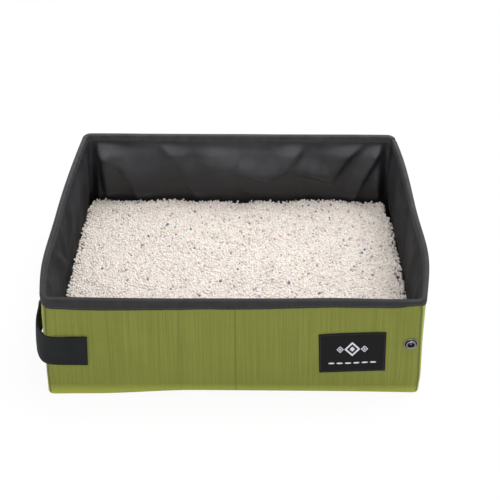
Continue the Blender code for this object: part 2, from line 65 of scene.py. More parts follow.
# The studio
# A pale floor that runs out white, a soft white sky and two broad lamps stand round the box. The
# camera looks down on its front, as someone who stands before it does.
CAMERA_RISE = math.radians(37.88)
CAMERA_TURN = math.radians(-0.57)
CAMERA_DISTANCE = 1.198
CAMERA_AIM = Vector((0.0161, 0, 0.0724))
CAMERA_LENS_MM = 71.74
SENSOR_MM = 36
# Name, place and power of each lamp
LAMPS = (("front_lamp", (-0.1, -1.6, 1.6), 15), ("top_lamp", (0.5, 0.35, 1.9), 31))
LAMP_AIM = (0, 0, 0.05)
LAMP_SIZE = 1.3
SKY_LIGHT = 0.62
WHITE = (1, 1, 1, 1)
FLOOR_REACH = 6
FLOOR_COLOUR = (0.86, 0.86, 0.86, 1)
FLOOR_GLOW_SHARE = 0.91


def add_facing(name, data, place, way):
    """Adds a camera or a lamp that looks along a direction."""
    item = bpy.data.objects.new(name, data)
    item.location = place
    item.rotation_euler = way.to_track_quat("-Z", "Y").to_euler()
    scene.collection.objects.link(item)
    return item


def finish_piece(name, bm, material, sharp=40):
    """Turns a bmesh into a smooth shaded object at the origin."""
    mesh = bpy.data.meshes.new(name)
    bm.to_mesh(mesh)
    bm.free()
    mesh.materials.append(material)
    mesh.shade_smooth()
    mesh.set_sharp_from_angle(angle=math.radians(sharp))
    piece = bpy.data.objects.new(name, mesh)
    scene.collection.objects.link(piece)
    return piece


def fill(tree, socket, value):
    """Links a socket to another one, or sets its value."""
    if isinstance(value, bpy.types.NodeSocket):
        tree.links.new(value, socket)
    else:
        socket.default_value = value


def add_node(tree, kind, inputs=(), **settings):
    """Adds a shader node, and fills its inputs by their numbers or names."""
    node = tree.nodes.new("ShaderNode" + kind)
    for key, value in settings.items():
        setattr(node, key, value)
    for key, value in dict(inputs).items():
        fill(tree, node.inputs[key], value)
    return node


def maths(tree, operation, *values):
    """Adds a Math node. Its inputs are numbers or sockets."""
    return add_node(tree, "Math", enumerate(values), operation=operation).outputs[0]


def seen_directly(tree):
    """Returns a socket that is 1 for what the camera, a mirror or glass shows, and 0 otherwise."""
    rays = add_node(tree, "LightPath").outputs
    shown = maths(tree, "MAXIMUM", rays["Is Camera Ray"], rays["Is Glossy Ray"])
    return maths(tree, "MAXIMUM", shown, rays["Is Transmission Ray"])


def split_surface(tree, share, lit, shown, output):
    """Mixes what a surface lights the box with and what is seen of it."""
    mix = add_node(tree, "MixShader", enumerate((share, lit.outputs[0], shown.outputs[0])))
    tree.links.new(mix.outputs[0], tree.nodes[output].inputs["Surface"])


look = Vector((math.sin(CAMERA_TURN) * math.cos(CAMERA_RISE),
               math.cos(CAMERA_TURN) * math.cos(CAMERA_RISE), -math.sin(CAMERA_RISE)))
camera_data = bpy.data.cameras.new("camera")
camera_data.lens = CAMERA_LENS_MM
camera_data.sensor_width = SENSOR_MM
camera_data.clip_start = 0.01
scene.camera = add_facing("camera", camera_data, CAMERA_AIM - look * CAMERA_DISTANCE, look)

for name, place, power in LAMPS:
    lamp_data = bpy.data.lights.new(name, "AREA")
    lamp_data.shape = "SQUARE"
    lamp_data.size = LAMP_SIZE
    lamp_data.energy = power
    add_facing(name, lamp_data, place, Vector(LAMP_AIM) - Vector(place))

sky = bpy.data.worlds.new("soft_sky")
sky.use_nodes = True
scene.world = sky
sky_tree = sky.node_tree
sky_light = sky_tree.nodes["Background"]
sky_light.inputs["Color"].default_value = WHITE
sky_light.inputs["Strength"].default_value = SKY_LIGHT
sky_shown = add_node(sky_tree, "Background", {"Color": WHITE})
split_surface(sky_tree, seen_directly(sky_tree), sky_light, sky_shown, "World Output")

floor_finish = bpy.data.materials.new("studio_floor")
floor_finish.use_nodes = True
floor_tree = floor_finish.node_tree
floor_tree.nodes.remove(floor_tree.nodes["Principled BSDF"])
floor_matt = add_node(floor_tree, "BsdfDiffuse", {"Color": FLOOR_COLOUR})
floor_share = maths(floor_tree, "MULTIPLY", seen_directly(floor_tree), FLOOR_GLOW_SHARE)
split_surface(floor_tree, floor_share, floor_matt, add_node(floor_tree, "Emission"), "Material Output")

floor_bm = bmesh.new()
bmesh.ops.create_grid(floor_bm, x_segments=1, y_segments=1, size=FLOOR_REACH)
finish_piece("studio_floor", floor_bm, floor_finish)


# The outer cloth of the walls
# A band of olive polyester Oxford cloth goes round all four walls, over their boards, and turns under
# at the foot, where it is sewn to the base. It is seamed at the back right corner. The ends bulge
# outwards at the rim, because their creases are popped past the straight, and the foot spreads a little.
front_low, front_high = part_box("front_shell")
WALL_X = front_high.x
WALL_Y = -front_low.y
RIM_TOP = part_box("front_binding")[1].z
CORNER = 0.009
FRONT_RUN = WALL_X - CORNER
CORNER_RUN = CORNER * math.pi / 2
END_RUN = 2 * (WALL_Y - CORNER)
HALF_ROUND = 2 * FRONT_RUN + 2 * CORNER_RUN + END_RUN
# Bulge of each end's rim: its depth and fullness, and the depth, place and width of its fuller front
RIM_BOWS = {-1: (0.0077, 1.8, 0.0039, -0.105, 0.055), 1: (0.0088, 2.8, 0.0047, -0.085, 0.055)}
FOOT_BOW = 0.0030
FOOT_SPREAD = {-1: 0.0090, 1: 0.0070}
LEAN_TOP = 0.125
LEAN_MOST = 0.8
# The front's foot kicks forward at its left end: start, run, depth and height
FOOT_KICK = (0.040, 0.115, 0.0060, 0.036)
RIM_CORNER_POWER = 1.0
FOOT_CORNER_POWER = 0.6
CREASE_REACH = 0.016
CORNER_REACH = 0.015
FRONT_TURN = FRONT_RUN + CORNER_RUN + CORNER_REACH - CORNER
REAR_TURN = HALF_ROUND - FRONT_TURN
FRONT_FLAP_SEAM = FRONT_RUN + CORNER_RUN + WALL_Y - CORNER - CREASE_REACH
REAR_FLAP_SEAM = FRONT_FLAP_SEAM + 2 * CREASE_REACH
LAP_START = FRONT_RUN + CORNER_RUN + END_RUN
LAP_END = LAP_START + CORNER_RUN
LAP_RAMP = 0.006
CLOTH = 0.0007
CLOTH_STEP = 0.002
CLOTH_TOP = RIM_TOP - 0.0045
NECK = 0.0009
NECK_HEIGHTS = (CLOTH_TOP, RIM_TOP - 0.0070, RIM_TOP - 0.0085)
FOOT_CORNER_RADIUS = 0.0022
FOOT_MIDDLE_RADIUS = 0.0042
SOLE = 0.0
HEM = 0.003
WALL_ROWS = 24
FOOT_ROWS = 7
CLOTH_WAVE = 0.0007
# The cloth is still at its foot and under the tape: its still height at the foot, and the ramps
CALM_FOOT = 0.008
CALM_RAMP = 0.02
YARN = 0.00055
# Shades of the olive cloth, of the painted light on its edges and foot, and of the painted shade in its
# creases
OLIVE = ((0.30, (0.173, 0.192, 0.0345)), (0.50, (0.219, 0.240, 0.0450)), (0.72, (0.272, 0.287, 0.0580)))
OLIVE_FOOT_PAINTED_LIGHT = (0.42, 0.45, 0.080)
OLIVE_PAINTED_LIGHT = (0.50, 0.53, 0.14)
OLIVE_CREASE_SHADE = (0.075, 0.083, 0.022)
# Painted light along the foot: the height of its band and its strength
FOOT_PAINTED_LIGHT_BAND = 0.013
FOOT_PAINTED_LIGHT_SHARE = 0.85
# Painted shade in the creases down the front, by distance from its middle: place, half width and strength
FRONT_LINES = ((0.002, 0.0009, 0.55), (-0.057, 0.0012, 0.22))
# The painted crease shade at each front corner, by distance past the front's flat run, and the strip of
# painted light beyond it: its start, its end and the widths over which it comes and goes
CORNER_LINE = (0.0052, 0.0019, 0.75)
PAINTED_LIGHT_STRIP = (0.0070, 0.0300, 0.0020, 0.0120)
# Strength of the painted light on the corner strips, and how much more it has at the right end
PAINTED_LIGHT_SHARE = 0.35
PAINTED_LIGHT_SHARE_MORE_RIGHT = 0.40


def smoothstep(value):
    """Eases from 0 to 1."""
    share = max(0.0, min(1.0, value))
    return share * share * (3 - 2 * share)


def lean(height):
    """Share of the foot's spread that a height has."""
    return min(LEAN_MOST, max(0.0, 1 - height / LEAN_TOP))


def end_bow(side, y, height):
    """How far an end wall bulges past the straight."""
    bow, power, belly, belly_y, belly_width = RIM_BOWS[side]
    share = min(1.0, abs(y) / WALL_Y)
    rim = bow * (1 - share ** power)
    rim += belly * math.exp(-((y - belly_y) / belly_width) ** 2) * (1 - share ** 12)
    return rim + (FOOT_BOW * (1 - share ** 2) - rim) * lean(height)


def plan_point(side, way, height):
    """Plan point of the outline on one half, way metres on from the front's middle."""
    near = min(way, HALF_ROUND - way)
    power = RIM_CORNER_POWER + (FOOT_CORNER_POWER - RIM_CORNER_POWER) * lean(height)
    if near <= FRONT_RUN:
        point = Vector((near, -WALL_Y))
    elif near <= FRONT_RUN + CORNER_RUN:
        angle = (near - FRONT_RUN) / CORNER
        point = Vector((FRONT_RUN + CORNER * math.sin(angle) ** power,
                        -WALL_Y + CORNER * (1 - max(0.0, math.cos(angle)) ** power)))
    else:
        point = Vector((WALL_X, -WALL_Y + CORNER + near - FRONT_RUN - CORNER_RUN))
    if way > HALF_ROUND / 2:
        point.y = -point.y
    bulge = end_bow(side, point.y, height) * smoothstep((point.x - FRONT_RUN) / CORNER)
    point.x = point.x * (1 + FOOT_SPREAD[side] * lean(height) / WALL_X) + bulge
    if side < 0 and point.y < 0:
        start, run, depth, top = FOOT_KICK
        kick = depth * smoothstep((point.x - start) / run) * max(0.0, 1 - height / top) ** 2
        point.y -= kick * min(1.0, -point.y / WALL_Y) ** 4
    point.x *= side
    return point


def wall_point(side, way, height, inset):
    """Point at a distance along the walls, a height, and a depth in from the cloth's outer face."""
    near = 0.0004
    here = plan_point(side, way, height)
    run = (plan_point(side, way + near, height) - plan_point(side, way - near, height)).normalized()
    point = here + Vector((-run.y, run.x)) * side * inset
    return Vector((point.x, point.y, height))


def cloth_grid(columns, rows, thickness, place, size=0.5):
    """Makes a sheet from a grid. place gives a vertex's point and its mark on the UV map."""
    bm = bmesh.new()
    bmesh.ops.create_grid(bm, x_segments=columns, y_segments=rows, size=size)
    uv = bm.loops.layers.uv.new("cloth")
    marks = {}
    for vert in bm.verts:
        vert.co, marks[vert] = place(vert.co.x, vert.co.y)
    for face in bm.faces:
        for loop in face.loops:
            loop[uv].uv = marks[loop.vert]
    bm.normal_update()
    if thickness:
        bmesh.ops.solidify(bm, geom=bm.faces[:], thickness=thickness)
    return bm


def wall_sheet(side, start, end, step, rows, surface, thickness, inward=False):
    """Makes a sheet on a stretch of wall. surface gives depth and height for a distance and a row."""
    def place(across, up):
        along = across + 0.5
        row = rows * (up + 0.5)
        if side > 0:
            along = 1 - along
        if inward:
            row = rows - row
        way = start + (end - start) * along
        inset, height = surface(side, way, row)
        return wall_point(side, way, height, inset), (side * way, height)

    return cloth_grid(max(2, round((end - start) / step)), rows, thickness, place)


def mapped(tree, source, scale):
    """Scales texture coordinates."""
    return add_node(tree, "Mapping", {"Vector": source, "Scale": scale}).outputs["Vector"]


def cloud(tree, source, scale, detail=2.0, roughness=0.5):
    """Adds a noise texture and returns its value."""
    inputs = {"Vector": source, "Scale": scale, "Detail": detail, "Roughness": roughness}
    return add_node(tree, "TexNoise", inputs).outputs["Fac"]


def ramp(tree, factor, stops):
    """Adds a colour ramp with the given places and colours."""
    node = add_node(tree, "ValToRGB", {"Fac": factor})
    points = node.color_ramp.elements
    while len(points) < len(stops):
        points.new(0.5)
    for point, (place, colour) in zip(points, stops):
        point.position = place
        point.color = (*colour, 1)
    return node.outputs["Color"]


def mixed(tree, factor, first, second, blend="MIX"):
    """Mixes two colours, which are sockets or tuples."""
    node = add_node(tree, "Mix", data_type="RGBA", blend_type=blend)
    colours = [item for item in node.inputs if item.type == "RGBA"]
    fill(tree, node.inputs[0], factor)
    for socket, value in zip(colours, (first, second)):
        fill(tree, socket, (*value, 1) if isinstance(value, tuple) else value)
    return [item for item in node.outputs if item.type == "RGBA"][0]


def shaded(tree, colour, factor, stops):
    """Darkens a colour by a ramp."""
    return mixed(tree, 1.0, colour, ramp(tree, factor, stops), "MULTIPLY")


def bumped(tree, height, distance, strength=1.0, below=None):
    """Adds a bump of a real depth, on top of another one where it is given."""
    inputs = {"Height": height, "Distance": distance, "Strength": strength}
    if below is not None:
        inputs["Normal"] = below
    return add_node(tree, "Bump", inputs).outputs["Normal"]


def clamped(tree, value):
    """Keeps a value between 0 and 1."""
    return maths(tree, "MINIMUM", maths(tree, "MAXIMUM", value, 0.0), 1.0)


def new_finish(name, roughness, specular=0.5, metallic=0.0):
    """Makes a material and returns it with its node tree."""
    material = bpy.data.materials.new(name)
    material.use_nodes = True
    shader = material.node_tree.nodes["Principled BSDF"]
    shader.inputs["Roughness"].default_value = roughness
    shader.inputs["Specular IOR Level"].default_value = specular
    shader.inputs["Metallic"].default_value = metallic
    return material, material.node_tree


def dress(tree, colour, normal, roughness=None):
    """Gives a material its colour, its normal and, where it varies, its roughness."""
    shader = tree.nodes["Principled BSDF"]
    tree.links.new(colour, shader.inputs["Base Color"])
    tree.links.new(normal, shader.inputs["Normal"])
    if roughness is not None:
        tree.links.new(roughness, shader.inputs["Roughness"])


def cloth_map(tree):
    """Returns a piece's own UV map, which is in metres."""
    return add_node(tree, "UVMap", uv_map="cloth").outputs["UV"]


def axes(tree, place):
    """Splits a place into its X, Y and Z."""
    return add_node(tree, "SeparateXYZ", {0: place}).outputs


def plain_weave(tree, source, yarn):
    """Height of a plain weave: yarns across and along that pass over each other in turn."""
    place = mapped(tree, source, (1 / yarn, 1 / yarn, 1))
    wave = {"Scale": math.pi / 10, "Vector": place}
    heights = [add_node(tree, "TexWave", wave, bands_direction=direction).outputs["Fac"]
               for direction in ("X", "Y")]
    checker = add_node(tree, "TexChecker", {"Scale": 1, "Vector": place}).outputs["Fac"]
    over = maths(tree, "MULTIPLY", heights[0], checker)
    return maths(tree, "MULTIPLY_ADD", heights[1], maths(tree, "SUBTRACT", 1.0, checker), over)


def dark_line(tree, place, middle, half_width, strength):
    """Strength of a line, which fades from its middle."""
    gap = maths(tree, "ABSOLUTE", maths(tree, "SUBTRACT", place, middle))
    line = maths(tree, "SUBTRACT", 1.0, maths(tree, "DIVIDE", gap, half_width))
    return maths(tree, "MULTIPLY", maths(tree, "MAXIMUM", line, 0.0), strength)


def make_oxford():
    """Olive Oxford cloth: a plain weave with uneven yarns, a fold down the front, painted shade in its
    creases and painted light on its corner strips and foot.
    """
    material, tree = new_finish("oxford_cloth", 0.82, 0.25)
    place = cloth_map(tree)
    weave = plain_weave(tree, place, YARN)
    slub_across = cloud(tree, mapped(tree, place, (20, 1100, 1)), 1.0, 3.0)
    slub_along = cloud(tree, mapped(tree, place, (800, 7, 1)), 1.0, 3.0)
    blotch = cloud(tree, place, 22.0, 4.0)
    yarns = maths(tree, "MULTIPLY_ADD", slub_across, 0.35, maths(tree, "MULTIPLY", slub_along, 1.65))
    tone = maths(tree, "MULTIPLY_ADD", yarns, 0.42, maths(tree, "MULTIPLY", blotch, 0.16))
    colour = shaded(tree, ramp(tree, tone, OLIVE), weave, [(0.0, (0.62, 0.62, 0.58)), (0.55, (1, 1, 1))])
    x, y, _ = axes(tree, place)
    # Painted light along the foot, where the cloth turns under
    foot = clamped(tree, maths(tree, "SUBTRACT", 1.0, maths(tree, "DIVIDE", y, FOOT_PAINTED_LIGHT_BAND)))
    colour = mixed(tree, maths(tree, "MULTIPLY", foot, FOOT_PAINTED_LIGHT_SHARE), colour, OLIVE_FOOT_PAINTED_LIGHT)
    way = maths(tree, "ABSOLUTE", x)
    # Painted shade along the creases at the front corners and down the front; the same lines bump the
    # cloth
    edge, edge_width, edge_strength = CORNER_LINE
    crease = dark_line(tree, way, FRONT_RUN + edge, edge_width, edge_strength)
    for line in FRONT_LINES:
        crease = maths(tree, "MAXIMUM", crease, dark_line(tree, x, *line))
    colour = mixed(tree, crease, colour, OLIVE_CREASE_SHADE)
    # Painted light on a strip past each front corner, stronger at the right end
    start, end, start_width, end_width = PAINTED_LIGHT_STRIP
    come = maths(tree, "DIVIDE", maths(tree, "SUBTRACT", way, FRONT_RUN + start), start_width)
    go = maths(tree, "DIVIDE", maths(tree, "SUBTRACT", FRONT_RUN + end, way), end_width)
    painted_light_share = clamped(tree, maths(tree, "MINIMUM", come, go))
    right_end = maths(tree, "GREATER_THAN", x, 0.0)
    share = maths(tree, "MULTIPLY_ADD", right_end, PAINTED_LIGHT_SHARE_MORE_RIGHT, PAINTED_LIGHT_SHARE)
    colour = mixed(tree, maths(tree, "MULTIPLY", painted_light_share, share), colour, OLIVE_PAINTED_LIGHT)
    fine = bumped(tree, weave, 0.00012, 0.6)
    uneven = bumped(tree, yarns, 0.00018, 0.5, fine)
    dress(tree, colour, bumped(tree, maths(tree, "SUBTRACT", 1.0, crease), 0.0006, 0.8, uneven))
    return material


def foot_radius(way):
    """Radius of the turn at the foot, softest at the middle of the front and back."""
    side_way = min(way, HALF_ROUND - way) / FRONT_RUN
    fullness = max(0.0, 1 - side_way ** 4)
    return FOOT_CORNER_RADIUS + (FOOT_MIDDLE_RADIUS - FOOT_CORNER_RADIUS) * fullness


def cloth_wave(side, way, height):
    """Small swells of the cloth between its edges."""
    rise = height / RIM_TOP
    calm = smoothstep((height - CALM_FOOT) / CALM_RAMP)
    calm *= smoothstep((NECK_HEIGHTS[2] - height) / CALM_RAMP)
    swell = noise.noise(Vector((side * way * 17, rise * 1.6, 3.0)))
    swell += 0.5 * noise.noise(Vector((side * way * 45, rise * 2.5, 9.0)))
    return CLOTH_WAVE * calm * swell


def shell_surface(side, way, row):
    """Depth and height of the outer cloth: drawn in under the tape, down, and turned under."""
    radius = foot_radius(way)
    neck_rows = len(NECK_HEIGHTS) - 1
    if row < neck_rows:
        return NECK, NECK_HEIGHTS[round(row)]
    if row <= neck_rows + WALL_ROWS:
        share = (row - neck_rows) / WALL_ROWS
        height = NECK_HEIGHTS[-1] + (SOLE + radius - NECK_HEIGHTS[-1]) * share
        return -cloth_wave(side, way, height), height
    if row <= neck_rows + WALL_ROWS + FOOT_ROWS:
        angle = math.pi / 2 * (row - neck_rows - WALL_ROWS) / FOOT_ROWS
        return radius * (1 - math.cos(angle)), SOLE + radius * (1 - math.sin(angle))
    return radius + HEM, SOLE


def lap(way):
    """How far a piece has gone under its neighbour where the two lap at the back right corner."""
    return smoothstep((way - LAP_START + LAP_RAMP) / LAP_RAMP)


def lapped(surface, sink):
    """The same surface, sunk by a depth at the lap."""
    def sunk(side, way, row):
        inset, height = surface(side, way, row)
        return inset + sink * lap(way), height

    return sunk


# How far from a corner a stretch starts to bend round it
CORNER_BEND = 0.015
# Name, side, start and end of each stretch of wall, and its bodies: one, which it rides, or two where it
# bends round a corner or a crease
WALL_STRETCHES = (
    ("left_front", -1, 0.0, FRONT_TURN, ("front_wall", "left_front_flap")),
    ("left_front_side", -1, FRONT_TURN, FRONT_FLAP_SEAM, ("left_front_flap",)),
    ("left_crease", -1, FRONT_FLAP_SEAM, REAR_FLAP_SEAM, ("left_front_flap", "left_rear_flap")),
    ("left_rear_side", -1, REAR_FLAP_SEAM, REAR_TURN, ("left_rear_flap",)),
    ("left_rear", -1, REAR_TURN, HALF_ROUND, ("left_rear_flap", "back_wall")),
    ("back_right", 1, LAP_START, HALF_ROUND, ("back_wall",)),
    ("right_rear", 1, REAR_FLAP_SEAM, LAP_END, ("right_rear_flap",)),
    ("right_crease", 1, FRONT_FLAP_SEAM, REAR_FLAP_SEAM, ("right_front_flap", "right_rear_flap")),
    ("right_front_side", 1, FRONT_TURN, FRONT_FLAP_SEAM, ("right_front_flap",)),
    ("right_front", 1, 0.0, FRONT_TURN, ("front_wall", "right_front_flap")),
)


def press_flat(piece, body, depth, keep):
    """Gives a piece a mesh of its own."""
    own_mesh(piece)


def follow_walls(piece, side, bodies, crease_reach, depth, keep, flat_walls=False):
    """Makes a stretch ride on its wall where it has one; a stretch across a corner or a crease stays in
    place.
    """
    if len(bodies) == 1:
        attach(piece, bodies[0])
        if flat_walls or bodies[0].endswith("_flap"):
            press_flat(piece, bodies[0], depth, keep)
        return
    if "crease" in piece.name:
        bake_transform(piece)
        return
    rear = "back_wall" in bodies
    ends = [(side * (WALL_X - CORNER_BEND), WALL_Y if rear else -WALL_Y, 0),
            (side * WALL_X, (WALL_Y - CORNER_BEND) * (1 if rear else -1), 0)]
    if rear:
        ends.reverse()
    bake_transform(piece)


# The stretches that take the place of a wall's solids, and the wall's name
STRETCH_WALLS = {"left_front_side": "left_front", "left_rear_side": "left_rear", "back_right": "back",
                 "right_rear": "right_rear", "right_front_side": "right_front", "right_front": "front"}


def stretch_node(name, layer):
    """The solid that a stretch stands for, in a list, which may be empty."""
    return [f"{STRETCH_WALLS[name]}_{layer}"] if name in STRETCH_WALLS else []


SHELL_CREASE_REACH = 0.005
SHELL_ROWS = len(NECK_HEIGHTS) - 1 + WALL_ROWS + FOOT_ROWS + 1
SHELL_FOLDED = (0.0004, 0.05)
LAP_GAP = 0.0003
oxford = make_oxford()
for name, side, start, end, bodies in WALL_STRETCHES:
    surface = lapped(shell_surface, CLOTH + LAP_GAP) if name == "right_rear" else shell_surface
    bm = wall_sheet(side, start, end, CLOTH_STEP, SHELL_ROWS, surface, CLOTH)
    piece = finish_piece(f"{name}_cloth", bm, oxford)
    follow_walls(piece, side, bodies, SHELL_CREASE_REACH, *SHELL_FOLDED)
    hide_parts(*stretch_node(name, "shell"))


# The boards
# A stiff grey board stands in each half of every wall, between the cloth and the lining. Those of the
# end walls bend with the bulge.
BOARD_DEPTH = 0.0009
BOARD = 0.0026
BOARD_STEP = 0.006
BOARD_ROWS = 8
# Room between a board and the cloth: at a corner's turn, at the lap, and under the tape
BOARD_CLEAR = 0.0075
BOARD_LAP_CLEAR = 0.001
BOARD_DROP = 0.0015


def speckled(name, roughness, specular, speckle, shades, relief, on_cloth=False, stretch=(1, 1, 1)):
    """Makes a finish whose colour and fine relief follow one noise texture."""
    material, tree = new_finish(name, roughness, specular)
    place = cloth_map(tree) if on_cloth else add_node(tree, "TexCoord").outputs["Object"]
    tone = cloud(tree, mapped(tree, place, stretch), *speckle)
    dress(tree, ramp(tree, tone, list(zip((0.3, 0.7), shades))), bumped(tree, tone, *relief))
    return material


# Grey board with pressed fibres
card = speckled("stiffener_board", 0.75, 0.3, (900.0, 4.0, 0.7), ((0.46, 0.44, 0.40), (0.66, 0.64, 0.59)),
                (0.00015, 0.5))
END_MIDDLE = FRONT_RUN + CORNER_RUN + WALL_Y - CORNER
BOARDS = []
for hand, side in (("left", -1), ("right", 1)):
    for half in ("front", "rear"):
        low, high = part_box(f"{hand}_{half}_board")
        end = END_MIDDLE + high.y
        if (hand, half) == ("right", "rear"):
            end = min(end, LAP_START - LAP_RAMP - BOARD_LAP_CLEAR)
        BOARDS.append((f"{hand}_{half}_board", side, END_MIDDLE + low.y, end, f"{hand}_{half}_flap"))
    low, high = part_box(f"front_board_{hand}")
    near, far = sorted((abs(low.x), abs(high.x)))
    far -= BOARD_CLEAR
    BOARDS.append((f"front_board_{hand}", side, near, far, "front_wall"))
    BOARDS.append((f"back_board_{hand}", side, HALF_ROUND - far, HALF_ROUND - near, "back_wall"))
BOARD_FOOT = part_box("front_board_left")[0].z
BOARD_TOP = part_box("front_board_left")[1].z - BOARD_DROP
BOARD_FOLDED = (0.0026, 0.22)


def board_surface(side, way, row):
    """Depth and height of a board."""
    return BOARD_DEPTH, BOARD_TOP - (BOARD_TOP - BOARD_FOOT) * row / BOARD_ROWS


for node, side, start, end, body in BOARDS:
    bm = wall_sheet(side, start, end, BOARD_STEP, BOARD_ROWS, board_surface, BOARD)
    piece = finish_piece(f"{node}_bent", bm, card)
    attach(piece, body)
    if body.endswith("_flap"):
        press_flat(piece, body, *BOARD_FOLDED)
    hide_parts(node)


# The base panel
# A panel of the same olive cloth closes the box underneath. It is sewn to the turned-under edge of the
# walls.
BASE_STEP = 0.006
BASE_EDGE = 0.0035
BASE_LIFT = 0.0009
# Half width of a sheet that still fits between the corners of the folded box
FLAT_REACH = 0.1985
# The base panel and the floor lining end in strips along the ends, which fold with the end flaps
STRIP_START = 0.1945
STRIP_DEPTH = 0.0030
FOLDED_SHARE = 0.002


def outline_reach(x, y, height):
    """How far the outline reaches from the middle along X, at a level."""
    side = -1 if x < 0 else 1
    return WALL_X + FOOT_SPREAD[side] * lean(height) + end_bow(side, y, height)


def flat_sheet(edge, step, thickness, level, height, widest=FLAT_REACH):
    """Makes a sheet with the box's plan at a level, drawn in by its edge's depth."""
    half_y = WALL_Y - edge

    def place(across, along):
        y = along * half_y
        half_x = min(outline_reach(across, y, level) - edge, widest)
        x = across * half_x
        over = Vector((abs(x) - (half_x - CORNER), abs(y) - (half_y - CORNER)))
        if over.x > 0 and over.y > 0 and over.length > CORNER:
            over = over.normalized() * CORNER
            x = math.copysign(half_x - CORNER + over.x, x)
            y = math.copysign(half_y - CORNER + over.y, y)
        return (x, y, height(x, y)), (x, y)

    return cloth_grid(round(2 * WALL_X / step), round(2 * WALL_Y / step), thickness, place, 1.0)


def press_between(piece):
    """Makes a piece ride on the front wall, and gives it a mesh of its own."""
    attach(piece, "front_wall")
    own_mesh(piece)


def end_strips(name, sheet, finish):
    """Makes the four strips of a flat sheet that lie beside the end flaps."""
    edge, step, thickness, level, height = sheet
    for hand, side in (("left", -1), ("right", 1)):
        for half, rear in (("front", -1), ("rear", 1)):
            bm = flat_sheet(edge, step, 0, level, height, 1.0)
            middles = {face: face.calc_center_median() for face in bm.faces}
            outside = [face for face, middle in middles.items()
                       if middle.x * side < STRIP_START or middle.y * rear < 0]
            bmesh.ops.delete(bm, geom=outside, context="FACES")
            bm.normal_update()
            bmesh.ops.solidify(bm, geom=bm.faces[:], thickness=thickness)
            piece = finish_piece(f"{name}_{hand}_{half}", bm, finish)
            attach(piece, f"{hand}_{half}_flap")
            press_flat(piece, f"{hand}_{half}_flap", STRIP_DEPTH, FOLDED_SHARE)


BASE_SHEET = (BASE_EDGE, BASE_STEP, CLOTH, 0, lambda x, y: BASE_LIFT + CLOTH)
end_strips("base_end", BASE_SHEET, oxford)
base_panel = finish_piece("base_panel", flat_sheet(*BASE_SHEET), oxford)
press_between(base_panel)
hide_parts("base_shell")


# The lining of the walls
# Black coated nylon hangs inside the walls, caught in the rim's tape above and under the litter below.
# It is cut loose, so it billows inwards and falls into long slanting folds from the corners.
LINING = 0.0005
LINING_STEP = 0.002
LINING_ROWS = 54
LINING_DEPTH = 0.0040
LINING_TOP = RIM_TOP - 0.0040
LINING_FOOT = 0.0026
LINING_GRIP = RIM_TOP - 0.0100
# How far the lining stands in from its walls by height, before its folds: back wall, then the others
BACK_SWELL = ((0.026, 0.0030), (0.036, 0.0036), (0.052, 0.0074), (0.068, 0.0086), (0.082, 0.0074),
              (0.124, 0.0), (0.135, 0.0))
SIDE_SWELL = ((0.026, 0.0010), (0.036, 0.0018), (0.060, 0.0036), (0.085, 0.0036), (0.110, 0.0014),
              (0.122, 0.0), (0.135, 0.0))
FOLD_END = 0.016
# How far below the tape the lining hangs free, how far in its corners are along X and Y, and how its
# moves fade beside corners and creases
LINING_FREE_RUN = 0.018
CORNER_INSET = (0.006, 0.004)
CORNER_START = 0.003
CORNER_FADE = 0.008
CREASE_START = 0.012
CREASE_FADE = 0.016
CREASE_SHARE = 0.4
# Share of the folds that is left near the litter, and the heights over which they grow
LOW_FOLD_SHARE = 0.30
LOW_FOLD_START = 0.032
LOW_FOLD_RUN = 0.022
CRUMPLE = 0.0012
COATED_DARK = (0.0100, 0.0102, 0.0112)
# Painted sheen: the paler colour of the lining's upper half, and the heights over which it comes in
COATED_PAINTED_SHEEN = (0.0360, 0.0370, 0.0430)
PAINTED_SHEEN_START = 0.056
PAINTED_SHEEN_RUN = 0.040
LINING_CREASE_REACH = 0.012
LINING_FOLDED = (0.0046, 0.04)
# Where the lining's corner pieces begin
LINING_CORNER = FRONT_RUN - 0.008
# The walls' stretches, with a piece of its own at each corner that bends
LINING_STRETCHES = (
    ("left_front", -1, 0.0, LINING_CORNER, ("front_wall",)),
    ("left_front_corner", -1, LINING_CORNER, FRONT_TURN, ("front_wall", "left_front_flap")),
    *WALL_STRETCHES[1:4],
    ("left_rear_corner", -1, REAR_TURN, HALF_ROUND - LINING_CORNER, ("left_rear_flap", "back_wall")),
    ("left_rear", -1, HALF_ROUND - LINING_CORNER, HALF_ROUND, ("back_wall",)),
    *WALL_STRETCHES[5:9],
    ("right_front_corner", 1, LINING_CORNER, FRONT_TURN, ("front_wall", "right_front_flap")),
    ("right_front", 1, 0.0, LINING_CORNER, ("front_wall",)),
)
# Folds on each wall: points of the ridge, depth, and width on its steep side and on its soft side
BACK_FOLDS = (
    (((-0.184, 0.127), (-0.177, 0.100), (-0.171, 0.056)), 0.0080, 0.0045, 0.016),
    (((-0.172, 0.104), (-0.151, 0.091), (-0.140, 0.072), (-0.131, 0.046)), 0.0062, 0.0060, 0.020),
    (((-0.094, 0.114), (-0.081, 0.101), (-0.069, 0.079), (-0.058, 0.054)), 0.0056, 0.0055, 0.018),
    (((-0.034, 0.094), (0.001, 0.085), (0.034, 0.074), (0.056, 0.086), (0.074, 0.110)),
     0.0070, 0.0060, 0.021),
    (((0.002, 0.062), (0.022, 0.048)), 0.0030, 0.0060, 0.010),
    (((0.084, 0.084), (0.119, 0.075), (0.140, 0.106), (0.164, 0.127)), 0.0072, 0.0055, 0.017),
    (((0.150, 0.046), (0.161, 0.077), (0.174, 0.099), (0.187, 0.124)), 0.0074, 0.0045, 0.012),
    (((0.180, 0.044), (0.181, 0.075)), 0.0034, 0.0040, 0.005),
)
